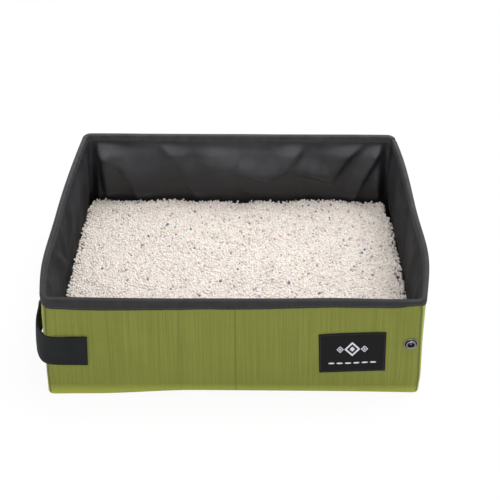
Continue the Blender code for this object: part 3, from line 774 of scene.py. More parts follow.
LEFT_FOLDS = (
    (((-0.020, 0.058), (-0.048, 0.090), (-0.070, 0.122)), 0.0050, 0.0060, 0.012),
    (((-0.030, 0.042), (-0.022, 0.080), (-0.018, 0.122)), 0.0034, 0.0050, 0.008),
    (((0.000, 0.046), (0.020, 0.085), (0.030, 0.120)), 0.0040, 0.0050, 0.010),
    (((0.052, 0.046), (0.066, 0.085), (0.088, 0.121)), 0.0040, 0.0055, 0.012),
    (((-0.110, 0.042), (-0.113, 0.121)), 0.0030, 0.0060, 0.008),
    (((0.118, 0.050), (0.138, 0.123)), 0.0042, 0.0050, 0.010),
)
RIGHT_FOLDS = (
    (((0.126, 0.050), (0.140, 0.122)), 0.0040, 0.0060, 0.008),
    (((0.055, 0.052), (0.080, 0.090), (0.102, 0.121)), 0.0030, 0.0090, 0.014),
    (((0.068, 0.050), (0.020, 0.121)), 0.0020, 0.0100, 0.014),
    (((-0.038, 0.042), (-0.050, 0.121)), 0.0022, 0.0080, 0.014),
    (((-0.085, 0.046), (-0.106, 0.121)), 0.0030, 0.0060, 0.012),
)
FRONT_FOLDS = (
    (((-0.150, 0.120), (-0.110, 0.046)), 0.0036, 0.0080, 0.012),
    (((-0.040, 0.120), (-0.060, 0.046)), 0.0028, 0.0080, 0.012),
    (((0.060, 0.120), (0.085, 0.046)), 0.0032, 0.0080, 0.012),
    (((0.150, 0.120), (0.120, 0.046)), 0.0036, 0.0080, 0.012),
)


def fold_depth(folds, across, height):
    """How far the folds push the lining inwards at a place on its wall."""
    total = 0.0
    for points, depth, steep, soft in folds:
        nearest = 1.0
        for (x0, z0), (x1, z1) in zip(points, points[1:]):
            run_x = x1 - x0
            run_z = z1 - z0
            length = math.hypot(run_x, run_z)
            along = ((across - x0) * run_x + (height - z0) * run_z) / length
            apart = ((across - x0) * run_z - (height - z0) * run_x) / length
            beyond = max(-along, along - length, 0.0)
            if math.hypot(apart, beyond) < nearest:
                nearest = math.hypot(apart, beyond)
                width = steep if apart > 0 else soft
                share = math.exp(-(apart / width) ** 2 - (beyond / FOLD_END) ** 2)
        if nearest < 1.0:
            total += depth * share
    return total


def lining_surface(side, way, row):
    """Depth and height of the lining, with its swell, its folds and its small creases."""
    height = LINING_TOP + (LINING_FOOT - LINING_TOP) * row / LINING_ROWS
    x, y = plan_point(side, way, RIM_TOP)
    free = smoothstep((LINING_GRIP - height) / LINING_FREE_RUN)
    if FRONT_RUN < way < HALF_ROUND - FRONT_RUN:
        folds = LEFT_FOLDS if side < 0 else RIGHT_FOLDS
        across = y
        from_corner = WALL_Y - CORNER_INSET[1] - abs(y)
        at_crease = smoothstep((abs(y) - CREASE_START) / CREASE_FADE)
        free *= CREASE_SHARE + (1 - CREASE_SHARE) * at_crease
    else:
        folds = BACK_FOLDS if way > HALF_ROUND / 2 else FRONT_FOLDS
        across = x
        from_corner = WALL_X - CORNER_INSET[0] - abs(x)
    calm = free * smoothstep((from_corner - CORNER_START) / CORNER_FADE)
    low = smoothstep((height - LOW_FOLD_START) / LOW_FOLD_RUN)
    swell = BACK_SWELL if way > HALF_ROUND - FRONT_RUN else SIDE_SWELL
    billow = float(np.interp(height, *zip(*swell)))
    crumple = noise.noise(Vector((side * way * 38, height * 30, 1.5)))
    crumple += 0.5 * noise.noise(Vector((side * way * 90, height * 60, 4.5)))
    folded = fold_depth(folds, across, height) + CRUMPLE * crumple
    depth = billow + (LOW_FOLD_SHARE + (1 - LOW_FOLD_SHARE) * low) * folded
    return LINING_DEPTH + max(0.0, depth) * calm, height


def make_coated(name, rough_low, rough_high, specular, depth):
    """Black coated nylon: soft sheen, a fine weave, small creases, and painted sheen in patches on its
    upper half.
    """
    material, tree = new_finish(name, rough_high, specular)
    place = cloth_map(tree)
    # Painted sheen: patches on the upper half are paler, where the lining leans towards the light
    patches = ramp(tree, cloud(tree, mapped(tree, place, (0.7, 1, 1)), 17.0, 3.0),
                   [(0.38, (0, 0, 0)), (0.62, (1, 1, 1))])
    rise = maths(tree, "DIVIDE", maths(tree, "SUBTRACT", axes(tree, place)["Y"], PAINTED_SHEEN_START), PAINTED_SHEEN_RUN)
    painted_light_share = maths(tree, "MULTIPLY", clamped(tree, rise), maths(tree, "MULTIPLY_ADD", patches, 0.65, 0.35))
    dark, painted_sheen = (tuple(depth * part for part in colour) for colour in (COATED_DARK, COATED_PAINTED_SHEEN))
    rough = ramp(tree, cloud(tree, place, 60.0, 5.0, 0.6),
                 [(0.3, (rough_low,) * 3), (0.7, (rough_high,) * 3)])
    fine = bumped(tree, plain_weave(tree, place, 0.00035), 0.00004, 0.5)
    crinkle = cloud(tree, mapped(tree, place, (1, 0.6, 1)), 130.0, 5.0, 0.6)
    dress(tree, mixed(tree, painted_light_share, dark, painted_sheen), bumped(tree, crinkle, 0.0009, 0.55, fine), rough)
    return material


coated = make_coated("coated_lining", 0.42, 0.54, 0.42, 1.0)
# The end walls' lining: the same cloth, rougher and less glossy, with its colours darkened to 0.8 as
# painted shade
coated_ends_painted_shade = make_coated("coated_ends_painted_shade", 0.74, 0.84, 0.22, 0.8)
for name, side, start, end, bodies in LINING_STRETCHES:
    surface = lapped(lining_surface, -LINING - LAP_GAP) if name == "right_rear" else lining_surface
    bm = wall_sheet(side, start, end, LINING_STEP, LINING_ROWS, surface, LINING, inward=True)
    finish = coated_ends_painted_shade if bodies[0].endswith("_flap") and "corner" not in name else coated
    piece = finish_piece(f"{name}_inner", bm, finish, sharp=60)
    follow_walls(piece, side, bodies, LINING_CREASE_REACH, *LINING_FOLDED, flat_walls=True)
    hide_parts(*stretch_node(name, "lining"))


# The floor lining
# The same black coated nylon lies loose on the base panel, under the litter. It is cut as one sheet,
# with a strip along each end that folds with the end flaps.
FLOOR_EDGE = 0.0062
FLOOR_STEP = 0.005
FLOOR_SHEET = (FLOOR_EDGE, FLOOR_STEP, LINING, LINING_FOOT, lambda x, y: LINING_FOOT)
end_strips("floor_end", FLOOR_SHEET, coated)
floor_sheet = finish_piece("floor_inner", flat_sheet(*FLOOR_SHEET), coated)
press_between(floor_sheet)
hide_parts("floor_lining")


# The rim's binding
# A folded charcoal tape takes in the edges of cloth, board and lining along the rim. It is lockstitched
# near its lower edge, and the thread draws it into small puckers.
TAPE = 0.0008
TAPE_STEP = 0.002
TAPE_PROUD = 0.0005
TAPE_INNER = 0.0050
TAPE_FOLDED = (0.0025, 0.22)
TAPE_DROP = 0.0100
# How far the tape's lower edge wanders and ripples, and the rim's own waves
TAPE_DRIFT = 0.0008
TAPE_RIPPLE = 0.0003
RIM_WAVE = 0.0004
FRONT_TAPE_DROPS = ((-0.150, 0.060, 0.0042), (-0.070, 0.055, 0.0024), (0.020, 0.050, 0.0020),
                    (0.150, 0.030, -0.0008), (0.190, 0.014, -0.0036))
FRONT_RIM_RISES = ((-0.080, 0.090, -0.0010), (0.108, 0.030, 0.0010))
TAPE_LEG_ROWS = 7
TAPE_TOP_ROWS = 8
TAPE_CROWN = 0.0018
TAPE_CREASE_REACH = 0.008
PUCKER = 0.00035
# The tape at the back right corner, under the back wall's: how much thinner and lower it is
TAPE_LAP_SHRINK = 0.34
TAPE_LAP_DROP = 0.0011
STITCH = 0.0026
STITCH_PITCH = 0.0034
STITCH_RADIUS = 0.00028
STITCH_RISE = 0.0024
STITCH_PROUD = 0.00005


def rim_rise(side, way):
    """Small waves of the rim's height."""
    rise = RIM_WAVE * noise.noise(Vector((side * way * 12, 4.0, 0.3)))
    if way < FRONT_RUN:
        rise += sum(depth * math.exp(-((side * way - middle) / width) ** 2)
                    for middle, width, depth in FRONT_RIM_RISES)
    return rise


def tape_foot(side, way, outside):
    """Height of the tape's lower edge, which isn't quite straight."""
    drift = noise.noise(Vector((side * way * 9, 1.0 if outside else 7.0, 0.3)))
    ripple = noise.noise(Vector((side * way * 60, 2.0 if outside else 5.0, 1.3)))
    drop = TAPE_DROP
    if way < FRONT_RUN + CORNER_RUN and outside:
        fade = smoothstep((FRONT_RUN + CORNER_RUN - way) / CORNER_RUN)
        drop += fade * sum(depth * math.exp(-((side * min(way, FRONT_RUN) - middle) / width) ** 2)
                           for middle, width, depth in FRONT_TAPE_DROPS)
    return RIM_TOP + rim_rise(side, way) - drop + TAPE_DRIFT * drift + TAPE_RIPPLE * ripple


def tape_surface(side, way, row):
    """Depth and height of the tape: up the outside, over the rim and down the inside."""
    outside = row <= TAPE_LEG_ROWS + TAPE_TOP_ROWS / 2
    foot = tape_foot(side, way, outside)
    shoulder = RIM_TOP + rim_rise(side, way) - TAPE_CROWN
    pucker = PUCKER * noise.noise(Vector((side * way * 190, 3.0 if outside else 8.0, 2.0)))
    pucker += 0.5 * PUCKER * noise.noise(Vector((side * way * 420, 2.0 if outside else 6.0, 5.0)))
    if row <= TAPE_LEG_ROWS:
        share = row / TAPE_LEG_ROWS
        return -TAPE_PROUD - pucker * (1 - share), foot + (shoulder - foot) * share
    if row >= TAPE_LEG_ROWS + TAPE_TOP_ROWS:
        share = (2 * TAPE_LEG_ROWS + TAPE_TOP_ROWS - row) / TAPE_LEG_ROWS
        return TAPE_INNER + pucker * (1 - share), foot + (shoulder - foot) * share
    angle = math.pi * (row - TAPE_LEG_ROWS) / TAPE_TOP_ROWS
    middle = (TAPE_INNER - TAPE_PROUD) / 2
    radius = (TAPE_INNER + TAPE_PROUD) / 2
    return middle - radius * math.cos(angle), shoulder + TAPE_CROWN * math.sin(angle)


def lapped_tape(side, way, row):
    """The tape tucked under the back wall's tape at the back right corner."""
    inset, height = tape_surface(side, way, row)
    middle = (TAPE_INNER - TAPE_PROUD) / 2
    return middle + (inset - middle) * (1 - TAPE_LAP_SHRINK * lap(way)), height - TAPE_LAP_DROP * lap(way)


def add_stitch(bm, first, last, half_length, radius):
    """Adds a stitch between two points: a short rounded rod."""
    turn = (last - first).to_track_quat("X", "Z").to_matrix().to_4x4()
    size = Matrix.Diagonal((half_length, radius, radius, 1))
    middle = Matrix.Translation((first + last) / 2)
    bmesh.ops.create_icosphere(bm, subdivisions=1, radius=1.0, matrix=middle @ turn @ size)


def stitch_row(bm, side, start, end, outside):
    """Adds a row of lockstitches, which dip into the tape at their ends."""
    count = int((end - start) / STITCH_PITCH)
    for step in range(count):
        way = start + (step + 0.5) * (end - start) / count
        height = tape_foot(side, way, outside) + STITCH_RISE
        depth = -TAPE_PROUD - STITCH_PROUD if outside else TAPE_INNER + STITCH_PROUD
        first = wall_point(side, way - STITCH / 2, height, depth)
        last = wall_point(side, way + STITCH / 2, height, depth)
        add_stitch(bm, first, last, STITCH / 2, STITCH_RADIUS)


def make_tape():
    """Charcoal binding tape: fine ribs across it, a matt face with worn patches, and painted shade along
    the front.
    """
    material, tree = new_finish("binding_tape", 0.72, 0.4)
    place = cloth_map(tree)
    ribs = plain_weave(tree, mapped(tree, place, (1, 0.6, 1)), 0.0005)
    wear = cloud(tree, place, 70.0, 4.0, 0.6)
    colour = ramp(tree, wear, [(0.3, (0.032, 0.033, 0.035)), (0.7, (0.060, 0.062, 0.066))])
    colour = shaded(tree, colour, ribs, [(0, (0.6, 0.6, 0.6)), (0.5, (1, 1, 1))])
    # Painted shade: the tape is darkened along the front and left lighter toward the back
    rear = maths(tree, "DIVIDE", maths(tree, "ABSOLUTE", axes(tree, place)["X"]), HALF_ROUND)
    colour = shaded(tree, colour, rear, [(0.25, (0.36, 0.36, 0.36)), (0.75, (1, 1, 1))])
    dress(tree, colour, bumped(tree, wear, 0.0005, 0.4, bumped(tree, ribs, 0.0001, 0.6)))
    return material


tape = make_tape()
# Charcoal polyester thread with its twist
thread = speckled("thread", 0.55, 0.5, (2500.0,), ((0.045, 0.045, 0.050), (0.085, 0.085, 0.092)),
                  (0.0001, 0.4))
for name, side, start, end, bodies in WALL_STRETCHES:
    surface = lapped_tape if name == "right_rear" else tape_surface
    rows = 2 * TAPE_LEG_ROWS + TAPE_TOP_ROWS
    bm = wall_sheet(side, start, end, TAPE_STEP, rows, surface, TAPE, inward=True)
    piece = finish_piece(f"{name}_tape", bm, tape, sharp=60)
    follow_walls(piece, side, bodies, TAPE_CREASE_REACH, *TAPE_FOLDED)
    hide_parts(*stretch_node(name, "binding"))
    seams = bmesh.new()
    last = LAP_START if name == "right_rear" else end
    stitch_row(seams, side, start, last, True)
    stitch_row(seams, side, start, last, False)
    seam = finish_piece(f"{name}_stitching", seams, thread, sharp=180)
    follow_walls(seam, side, bodies, TAPE_CREASE_REACH, *TAPE_FOLDED)


# The litter
# Three and a half litres of off-white mineral grains, with a few dyed purple and blue ones, lie heaped
# on the floor. A rough bed fills the heap, dark as painted shade between the grains, and loose grains make
# its surface.
LITTER_EDGE = 0.0066
LITTER_LEVEL = 0.0303
LITTER_HEAP = 0.0016
LITTER_SWELL = 0.0014
SWELL_PITCH = 0.029
LITTER_FINE = 0.0006
# Uneven edge of the bed: its large and its small waves
RAGGED_EDGE = (0.0022, 0.0014)
LITTER_CORNER = 0.014
# Notches in the bed at the left and right back corners: where they start, their ramp and their depth
BACK_NOTCHES = {-1: (0.141, 0.014, 0.0050), 1: (0.122, 0.010, 0.0060)}
# Beyond this, grains lie on the end flaps' side and fold with them
STRIP_X = 0.1965
BED_FALL = 0.008
# Grains that stick up at the back edge: how far from it, their share and the most that they rise
BACK_CREST = (0.006, 0.40, 0.0019)
# Bank of litter against the back wall: where it starts, its width and its height
BACK_BANK = (0.128, 0.024, 0.0062)
BACK_GAP = 0.0036
BED_STEP = 0.0035
BED_FOOT = LINING_FOOT + 0.0002
# How far the bed lies under the grains' level, in from their edge, and beyond it where it drops
BED_UNDER = 0.0005
BED_INSET = 0.0012
BED_BEYOND = 0.0004
# Tone of the bed, dark as painted shade in the gaps between the grains
BED_PAINTED_SHADE_TONE = 0.16
GRAIN_PITCH = 0.0027
GRAIN_RADIUS = 0.00165
GRAIN_JITTER = 0.30 * GRAIN_PITCH
GRAIN_LIFT = 0.00032
GRAIN_SIZES = (0.62, 1.15)
GRAIN_LUMPS = (0.78, 1.18)
GRAIN_STRETCH = (0.85, 1.25)
TONE_POWER = 0.8
# Dyed and faded grains: their rise on the heap, their sizes and their tones
DYED = (0.0012, (0.95, 1.3), (0.05, 0.6))
FADED = (0.0010, (0.8, 1.2), (0.65, 1.0))
# Share of the box's half width and half depth that the faded grains reach
FADED_REACH = (0.95, 0.9)
FADED_PURPLE = 150
FADED_BLUE = 45
# A second grain under each one on the end flaps' side: how it is moved, and its size
UNDER_GRAIN = (0.0007, 0.0013, -0.0016)
UNDER_GRAIN_SIZE = 1.1
GRAIN_KINDS = 14
GRAIN_PIECE_LIMIT = 9500
PURPLE_PLACES = ((-0.080, 0.082), (-0.109, -0.006), (-0.079, -0.025), (-0.044, -0.036), (-0.020, -0.009),
                 (-0.008, 0.045), (0.001, 0.122), (0.014, 0.111), (-0.059, 0.135), (0.123, 0.146),
                 (0.146, 0.135), (0.102, 0.134), (0.167, 0.004), (0.162, -0.005), (0.195, 0.009),
                 (0.088, 0.006), (0.064, -0.012), (0.100, -0.032), (-0.122, 0.060), (0.030, 0.124))
BLUE_PLACES = ((-0.136, 0.148), (-0.093, 0.105), (-0.062, 0.097), (-0.055, 0.054), (-0.116, 0.081),
               (-0.167, 0.013), (0.001, 0.012), (0.106, 0.150), (0.093, 0.143), (0.120, 0.121),
               (0.161, 0.054), (0.157, 0.048))


def litter_height(x, y):
    """Level of the heap: low swells, and a bank against the back wall."""
    heap = 0.5 * math.sin(math.tau * (0.75 * x / WALL_X + y / WALL_Y) + 0.3)
    heap += 0.3 * math.sin(math.tau * (1.5 * x / WALL_X - 0.5 * y / WALL_Y) + 1.7)
    heap += 0.2 * math.sin(math.tau * (2.0 * y / WALL_Y - x / WALL_X) + 2.9)
    swell = math.cos(math.pi * x / SWELL_PITCH) * math.cos(math.pi * y / SWELL_PITCH)
    fine = LITTER_FINE * noise.noise(Vector((x * 55, y * 55, 0.7)))
    start, width, height = BACK_BANK
    bank = height * smoothstep((y - start) / width) * (0.8 + 0.5 * noise.noise(Vector((x * 22, 0.4, 6.0))))
    return LITTER_LEVEL + LITTER_HEAP * heap + LITTER_SWELL * swell + fine + bank


def inside_litter(x, y, edge):
    """True where the bed of litter reaches, with its corners cut off unevenly."""
    ragged = RAGGED_EDGE[0] * noise.noise(Vector((x * 70, y * 70, 5.0)))
    ragged += RAGGED_EDGE[1] * noise.noise(Vector((x * 260, y * 260, 8.0)))
    start, width, depth = BACK_NOTCHES[-1 if x < 0 else 1]
    limit_x = outline_reach(x, y, LITTER_LEVEL) - edge + ragged - depth * smoothstep((y - start) / width)
    limit_y = WALL_Y - edge - (BACK_GAP if y > 0 else 0) + ragged
    over = Vector((abs(x) - (limit_x - LITTER_CORNER), abs(y) - (limit_y - LITTER_CORNER)))
    if over.x > 0 and over.y > 0:
        return over.length < LITTER_CORNER
    return abs(x) < limit_x and abs(y) < limit_y


def bed_height(x, y):
    """Level of the bed under the loose grains. It drops away where they end."""
    fall = 0 if inside_litter(x, y, LITTER_EDGE - BED_BEYOND) else BED_FALL
    return litter_height(x, y) - BED_UNDER - fall


def make_grit(name, *shades):
    """A mineral grain's finish: each grain has its own tone, with pores."""
    material, tree = new_finish(name, 0.9, 0.2)
    tone = add_node(tree, "Attribute", attribute_name="tone").outputs["Fac"]
    pores = cloud(tree, add_node(tree, "TexCoord").outputs["Object"], 1600.0, 4.0, 0.7)
    colour = shaded(tree, ramp(tree, tone, shades), pores, [(0.30, (0.84, 0.82, 0.80)), (0.55, (1, 1, 1))])
    dress(tree, colour, bumped(tree, pores, 0.0004, 0.6))
    return material


def grain_kinds(draw):
    """Makes a few lumpy grains of unit size, each a rounded solid with its corners moved."""
    kinds = []
    for _ in range(GRAIN_KINDS):
        bm = bmesh.new()
        bmesh.ops.create_icosphere(bm, subdivisions=1, radius=1.0)
        for vert in bm.verts:
            vert.co *= draw.uniform(*GRAIN_LUMPS)
        bm.verts.index_update()
        corners = np.array([vert.co for vert in bm.verts])
        faces = np.array([[vert.index for vert in face.verts] for face in bm.faces])
        kinds.append((corners, faces))
        bm.free()
    return kinds


def scatter_grains(name, grains, material, body="front_wall"):
    """Makes one piece of many grains. A grain is its place, its size and its tone."""
    corners = []
    faces = []
    tones = []
    count = 0
    for place, size, tone in grains:
        shape, triangles = kinds[draw.randrange(len(kinds))]
        turn = Euler([draw.uniform(0, 6.28) for _ in range(3)])
        matrix = np.array(turn.to_matrix()) * size
        matrix[:, 0] *= draw.uniform(*GRAIN_STRETCH)
        corners.append(shape @ matrix.T + np.array(place))
        faces.append(triangles + count)
        tones += [tone] * len(shape)
        count += len(shape)
    mesh = bpy.data.meshes.new(name)
    mesh.from_pydata(np.concatenate(corners).tolist(), [], np.concatenate(faces).tolist())
    mesh.attributes.new("tone", "FLOAT", "POINT").data.foreach_set("value", tones)
    mesh.materials.append(material)
    mesh.shade_smooth()
    piece = bpy.data.objects.new(name, mesh)
    scene.collection.objects.link(piece)
    if body == "front_wall":
        press_between(piece)
    else:
        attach(piece, body)
        press_flat(piece, body, LINING_FOLDED[0], FOLDED_SHARE)


draw = random.Random(7)
kinds = grain_kinds(draw)
pale_grit = make_grit("pale_grit", (0.0, (0.34, 0.29, 0.25)), (0.06, (0.62, 0.55, 0.50)),
                      (0.30, (0.85, 0.79, 0.735)), (1.0, (0.91, 0.87, 0.83)))
purple_grit = make_grit("purple_grit", (0.0, (0.36, 0.15, 0.30)), (0.5, (0.55, 0.26, 0.47)),
                        (1.0, (0.86, 0.68, 0.74)))
blue_grit = make_grit("blue_grit", (0.0, (0.08, 0.15, 0.23)), (0.5, (0.16, 0.30, 0.38)),
                      (1.0, (0.62, 0.76, 0.78)))

bm = flat_sheet(LITTER_EDGE + BED_INSET, BED_STEP, 0, LITTER_LEVEL, bed_height, STRIP_X)
rim_edges = [edge for edge in bm.edges if edge.is_boundary]
skirt = bmesh.ops.extrude_edge_only(bm, edges=rim_edges)["geom"]
for item in skirt:
    if isinstance(item, bmesh.types.BMVert):
        item.co.z = BED_FOOT
foot_edges = [item for item in skirt if isinstance(item, bmesh.types.BMEdge) and item.is_boundary]
bmesh.ops.contextual_create(bm, geom=foot_edges)
bmesh.ops.recalc_face_normals(bm, faces=bm.faces[:])
tone_layer = bm.verts.layers.float.new("tone")
for vert in bm.verts:
    vert[tone_layer] = BED_PAINTED_SHADE_TONE
litter_bed = finish_piece("litter_bed", bm, pale_grit)
press_between(litter_bed)
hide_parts("litter_fill")

pale = {body: [] for body in ("front_wall", "left_front_flap", "left_rear_flap", "right_front_flap",
                              "right_rear_flap")}
across_count = int(2 * WALL_X / GRAIN_PITCH) + 6
row_pitch = GRAIN_PITCH * math.sqrt(3) / 2
crest_reach, crest_share, crest_rise = BACK_CREST
for row in range(int(2 * WALL_Y / row_pitch)):
    for column in range(across_count):
        x = (column + 0.5 * (row % 2) - across_count / 2) * GRAIN_PITCH + draw.gauss(0, GRAIN_JITTER)
        y = -WALL_Y + (row + 0.5) * row_pitch + draw.gauss(0, GRAIN_JITTER)
        size = GRAIN_RADIUS * draw.uniform(*GRAIN_SIZES)
        lift = draw.gauss(0, GRAIN_LIFT)
        tone = draw.random() ** TONE_POWER
        crest = draw.uniform(0, crest_rise) if draw.random() < crest_share else 0
        if not inside_litter(x, y, LITTER_EDGE):
            continue
        from_back = WALL_Y - LITTER_EDGE - BACK_GAP - y
        height = litter_height(x, y) + lift + crest * smoothstep(1 - from_back / crest_reach)
        if abs(x) < STRIP_X:
            pale["front_wall"].append(((x, y, height), size, tone))
            continue
        body = ("left" if x < 0 else "right") + ("_front_flap" if y < 0 else "_rear_flap")
        pale[body].append(((x, y, height), size, tone))
        under = tuple(Vector((x, y, height)) + Vector(UNDER_GRAIN))
        pale[body].append((under, size * UNDER_GRAIN_SIZE, tone))
for body, grains in pale.items():
    for part in range(math.ceil(len(grains) / GRAIN_PIECE_LIMIT)):
        chunk = grains[part * GRAIN_PIECE_LIMIT:(part + 1) * GRAIN_PIECE_LIMIT]
        scatter_grains(f"pale_grains_{body}_{part + 1}", chunk, pale_grit, body)


def dyed_grain(x, y, rise, sizes, tones):
    """A dyed grain on the heap, with its size and tone drawn from their ranges."""
    return (x, y, litter_height(x, y) + rise), GRAIN_RADIUS * draw.uniform(*sizes), draw.uniform(*tones)


# Each colour's grains: the strongly dyed ones at their places, then a number of faded ones anywhere
for name, places, faded, material in (("purple_grains", PURPLE_PLACES, FADED_PURPLE, purple_grit),
                                      ("blue_grains", BLUE_PLACES, FADED_BLUE, blue_grit)):
    dyed = [dyed_grain(x, y, *DYED) for x, y in places]
    for _ in range(faded):
        x = draw.uniform(-FADED_REACH[0], FADED_REACH[0]) * WALL_X
        y = draw.uniform(-FADED_REACH[1], FADED_REACH[1]) * WALL_Y
        if inside_litter(x, y, LITTER_EDGE):
            dyed.append(dyed_grain(x, y, *FADED))
    scatter_grains(name, dyed, material)


# The strap
# A black webbing strap is sewn flat to the front and back walls near the left corners. Between them
# it stands off the left end as a carrying handle, and it holds the folded box shut.
strap_low, strap_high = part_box("strap_front_half")
STRAP_FOOT = strap_low.z + 0.0004
STRAP_WIDTH = strap_high.z - strap_low.z - 0.0010
STRAP_MIDDLE = STRAP_FOOT + STRAP_WIDTH / 2
STRAP_X = strap_low.x
WEBBING = 0.0018
WEBBING_STEP = 0.0022
WEBBING_ROWS = 16
WEBBING_SHEET = WEBBING - 0.0002
STRAP_GAP = 0.0002
STRAP_SEAT = WALL_Y + STRAP_GAP + WEBBING
STRAP_SLANT = 0.10
SLANT_RAMP = 0.022
# The cut of the sewn end: its place along X, and how far it slants
STRAP_CUT = (-0.1564, 0.0029)
# Plan points of the strap's outer face, from its sewn end to the middle of its free run
STRAP_PLAN = ((STRAP_CUT[0], -STRAP_SEAT), (-0.190, -STRAP_SEAT), (-0.1990, 0.0012 - STRAP_SEAT),
              (-0.2055, 0.0040 - STRAP_SEAT), (-0.2107, 0.0092 - STRAP_SEAT),
              (-0.2150, 0.0168 - STRAP_SEAT), (-0.2178, 0.0260 - STRAP_SEAT), (-0.2192, -0.130),
              (-0.2196, -0.118), (-0.2188, -0.104), (-0.2184, -0.085), (-0.2194, -0.050), (STRAP_X, 0))
# Cup across the webbing, wander of its face, and its rounded edge's depth and start
STRAP_CUP = 0.0007
STRAP_WANDER = 0.0008
STRAP_EDGE = 0.00035
STRAP_EDGE_START = 0.88
# The sewn end's foot stands off the wall before the turn: how far, where it starts and its ramp
STRAP_DRAPE = (0.0012, 0.020, 0.014)


def rounded_line(points, rounds):
    """Cuts a line's corners again and again, which rounds it. Its ends stay."""
    for _ in range(rounds):
        cut = [points[0]]
        for first, last in zip(points, points[1:]):
            cut.append(first.lerp(last, 0.25))
            cut.append(first.lerp(last, 0.75))
        points = cut + [points[-1]]
    return points


strap_half_line = rounded_line([Vector(point) for point in STRAP_PLAN], 3)
strap_runs = np.cumsum([0.0] + [(last - first).length
                                for first, last in zip(strap_half_line, strap_half_line[1:])])
STRAP_HALF = float(strap_runs[-1])
STRAP_LENGTH = 2 * STRAP_HALF
FLAT_RUN = STRAP_CUT[0] - STRAP_PLAN[1][0]
TURN_RUN = 0.050
FREE_START = FLAT_RUN + TURN_RUN
# Where the strap's front piece ends
FREE_SPLIT = FREE_START + 0.040
# The part of the rear turn that follows the strap when the box folds
BEND_RUN = 0.027


def strap_place(way):
    """Plan point of the strap's outer face, way metres on from its front end."""
    near = min(way, STRAP_LENGTH - way)
    x = float(np.interp(near, strap_runs, [point.x for point in strap_half_line]))
    y = float(np.interp(near, strap_runs, [point.y for point in strap_half_line]))
    if way > STRAP_HALF:
        y = -y
    return Vector((x, y))


def strap_line(way):
    """The same with the direction that the outer face looks in."""
    near = 0.001
    first = max(0.0, way - near)
    last = min(STRAP_LENGTH, way + near)
    run = (strap_place(last) - strap_place(first)).normalized()
    return strap_place(way), Vector((-run.y, run.x))


def strap_sheet(start, end):
    """Makes a stretch of the webbing, with thick rounded edges and a slight cup across it."""
    drape_depth, drape_start, drape_ramp = STRAP_DRAPE

    def place(along, across):
        way = start + (end - start) * (along + 0.5)
        share = across + 0.5
        near = min(way, STRAP_LENGTH - way)
        point, out = strap_line(way)
        free = smoothstep((near - FLAT_RUN) / TURN_RUN)
        turned_out = smoothstep((near - FLAT_RUN) / SLANT_RAMP)
        height = STRAP_FOOT + STRAP_WIDTH * (1 - share)
        offset = STRAP_WANDER * free * noise.noise(Vector((way * 14, 0.5, 2.0)))
        offset -= STRAP_CUP * free * (2 * share - 1) ** 2
        to_edge = (abs(2 * share - 1) - STRAP_EDGE_START) / (1 - STRAP_EDGE_START)
        offset -= STRAP_EDGE * smoothstep(to_edge)
        offset += (drape_depth * smoothstep((near - FLAT_RUN + drape_start) / drape_ramp)
                   * (1 - turned_out) * (1 - share))
        slant = STRAP_SLANT * turned_out * smoothstep(abs(STRAP_HALF - way) / (STRAP_HALF - FREE_START))
        point = point + out * (offset + slant * (STRAP_MIDDLE - height))
        if near < FLAT_RUN:
            point.x -= STRAP_CUT[1] * share * (1 - near / FLAT_RUN)
        return (point.x, point.y, height), (way, height)

    columns = max(2, round((end - start) / WEBBING_STEP))
    return cloth_grid(columns, WEBBING_ROWS, WEBBING_SHEET, place)


def make_webbing():
    """Black nylon webbing: ribs across the strap, flat selvedges, and a matt nap."""
    material, tree = new_finish("strap_webbing", 0.75, 0.2)
    place = cloth_map(tree)
    ribs = plain_weave(tree, mapped(tree, place, (1, 0.55, 1)), 0.0009)
    colour = ramp(tree, cloud(tree, place, 40.0, 4.0),
                  [(0.3, (0.0075, 0.0088, 0.0105)), (0.7, (0.0125, 0.0140, 0.0165))])
    colour = shaded(tree, colour, ribs, [(0, (0.5, 0.5, 0.5)), (0.5, (1, 1, 1))])
    dress(tree, colour, bumped(tree, ribs, 0.00022, 0.7))
    return material


webbing = make_webbing()
# Where the pieces of the strap meet, from its front end on
STRAP_JOINS = (0, FREE_SPLIT, STRAP_LENGTH - FREE_SPLIT, STRAP_LENGTH - FREE_START,
               STRAP_LENGTH - FREE_START + BEND_RUN, STRAP_LENGTH - FLAT_RUN, STRAP_LENGTH)
strap = []
for name, start, end in zip(("front_run", "middle_run", "rear_run", "rear_bend", "rear_turn", "rear_sewn"),
                            STRAP_JOINS, STRAP_JOINS[1:]):
    strap.append(finish_piece(f"strap_{name}", strap_sheet(start, end), webbing, sharp=60))
strap_front, strap_middle, strap_rear, strap_bend, strap_turn, strap_end = strap
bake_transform(strap_front)
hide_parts("strap_front_end", "strap_front_half")
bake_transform(strap_middle)
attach(strap_rear, "strap_rear")
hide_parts("strap_rear_half")
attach(strap_bend, "strap_rear")
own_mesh(strap_bend)
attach(strap_turn, "back_wall")
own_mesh(strap_turn)
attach(strap_end, "back_wall")
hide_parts("strap_rear_end")


# The press stud
# A two-part gunmetal stud closes the folded box: the socket on the front's right edge, and the stud
# and its cap through the strap.
SNAP_PLACE = (0.1896, 0.0754)
SNAP_STEPS = 48
SNAP_GAP = 0.0001
SNAP_MERGE = 0.000002
# Profile of the socket from its rim to its bore: radius and rise off the cloth
SNAP_PROFILE = ((0.0074, 0.0000), (0.0076, 0.0006), (0.0073, 0.0011), (0.0068, 0.0012),
                (0.0064, 0.0009), (0.0061, 0.0005), (0.0058, 0.0005), (0.0055, 0.0010),
                (0.0054, 0.0024), (0.0051, 0.0030), (0.0047, 0.0032), (0.0042, 0.0031),
                (0.0038, 0.0027), (0.0036, 0.0020), (0.0034, 0.0008), (0.0014, 0.0006),
                (0.0011, 0.0010), (0.0006, 0.0012), (0.0000, 0.00125))
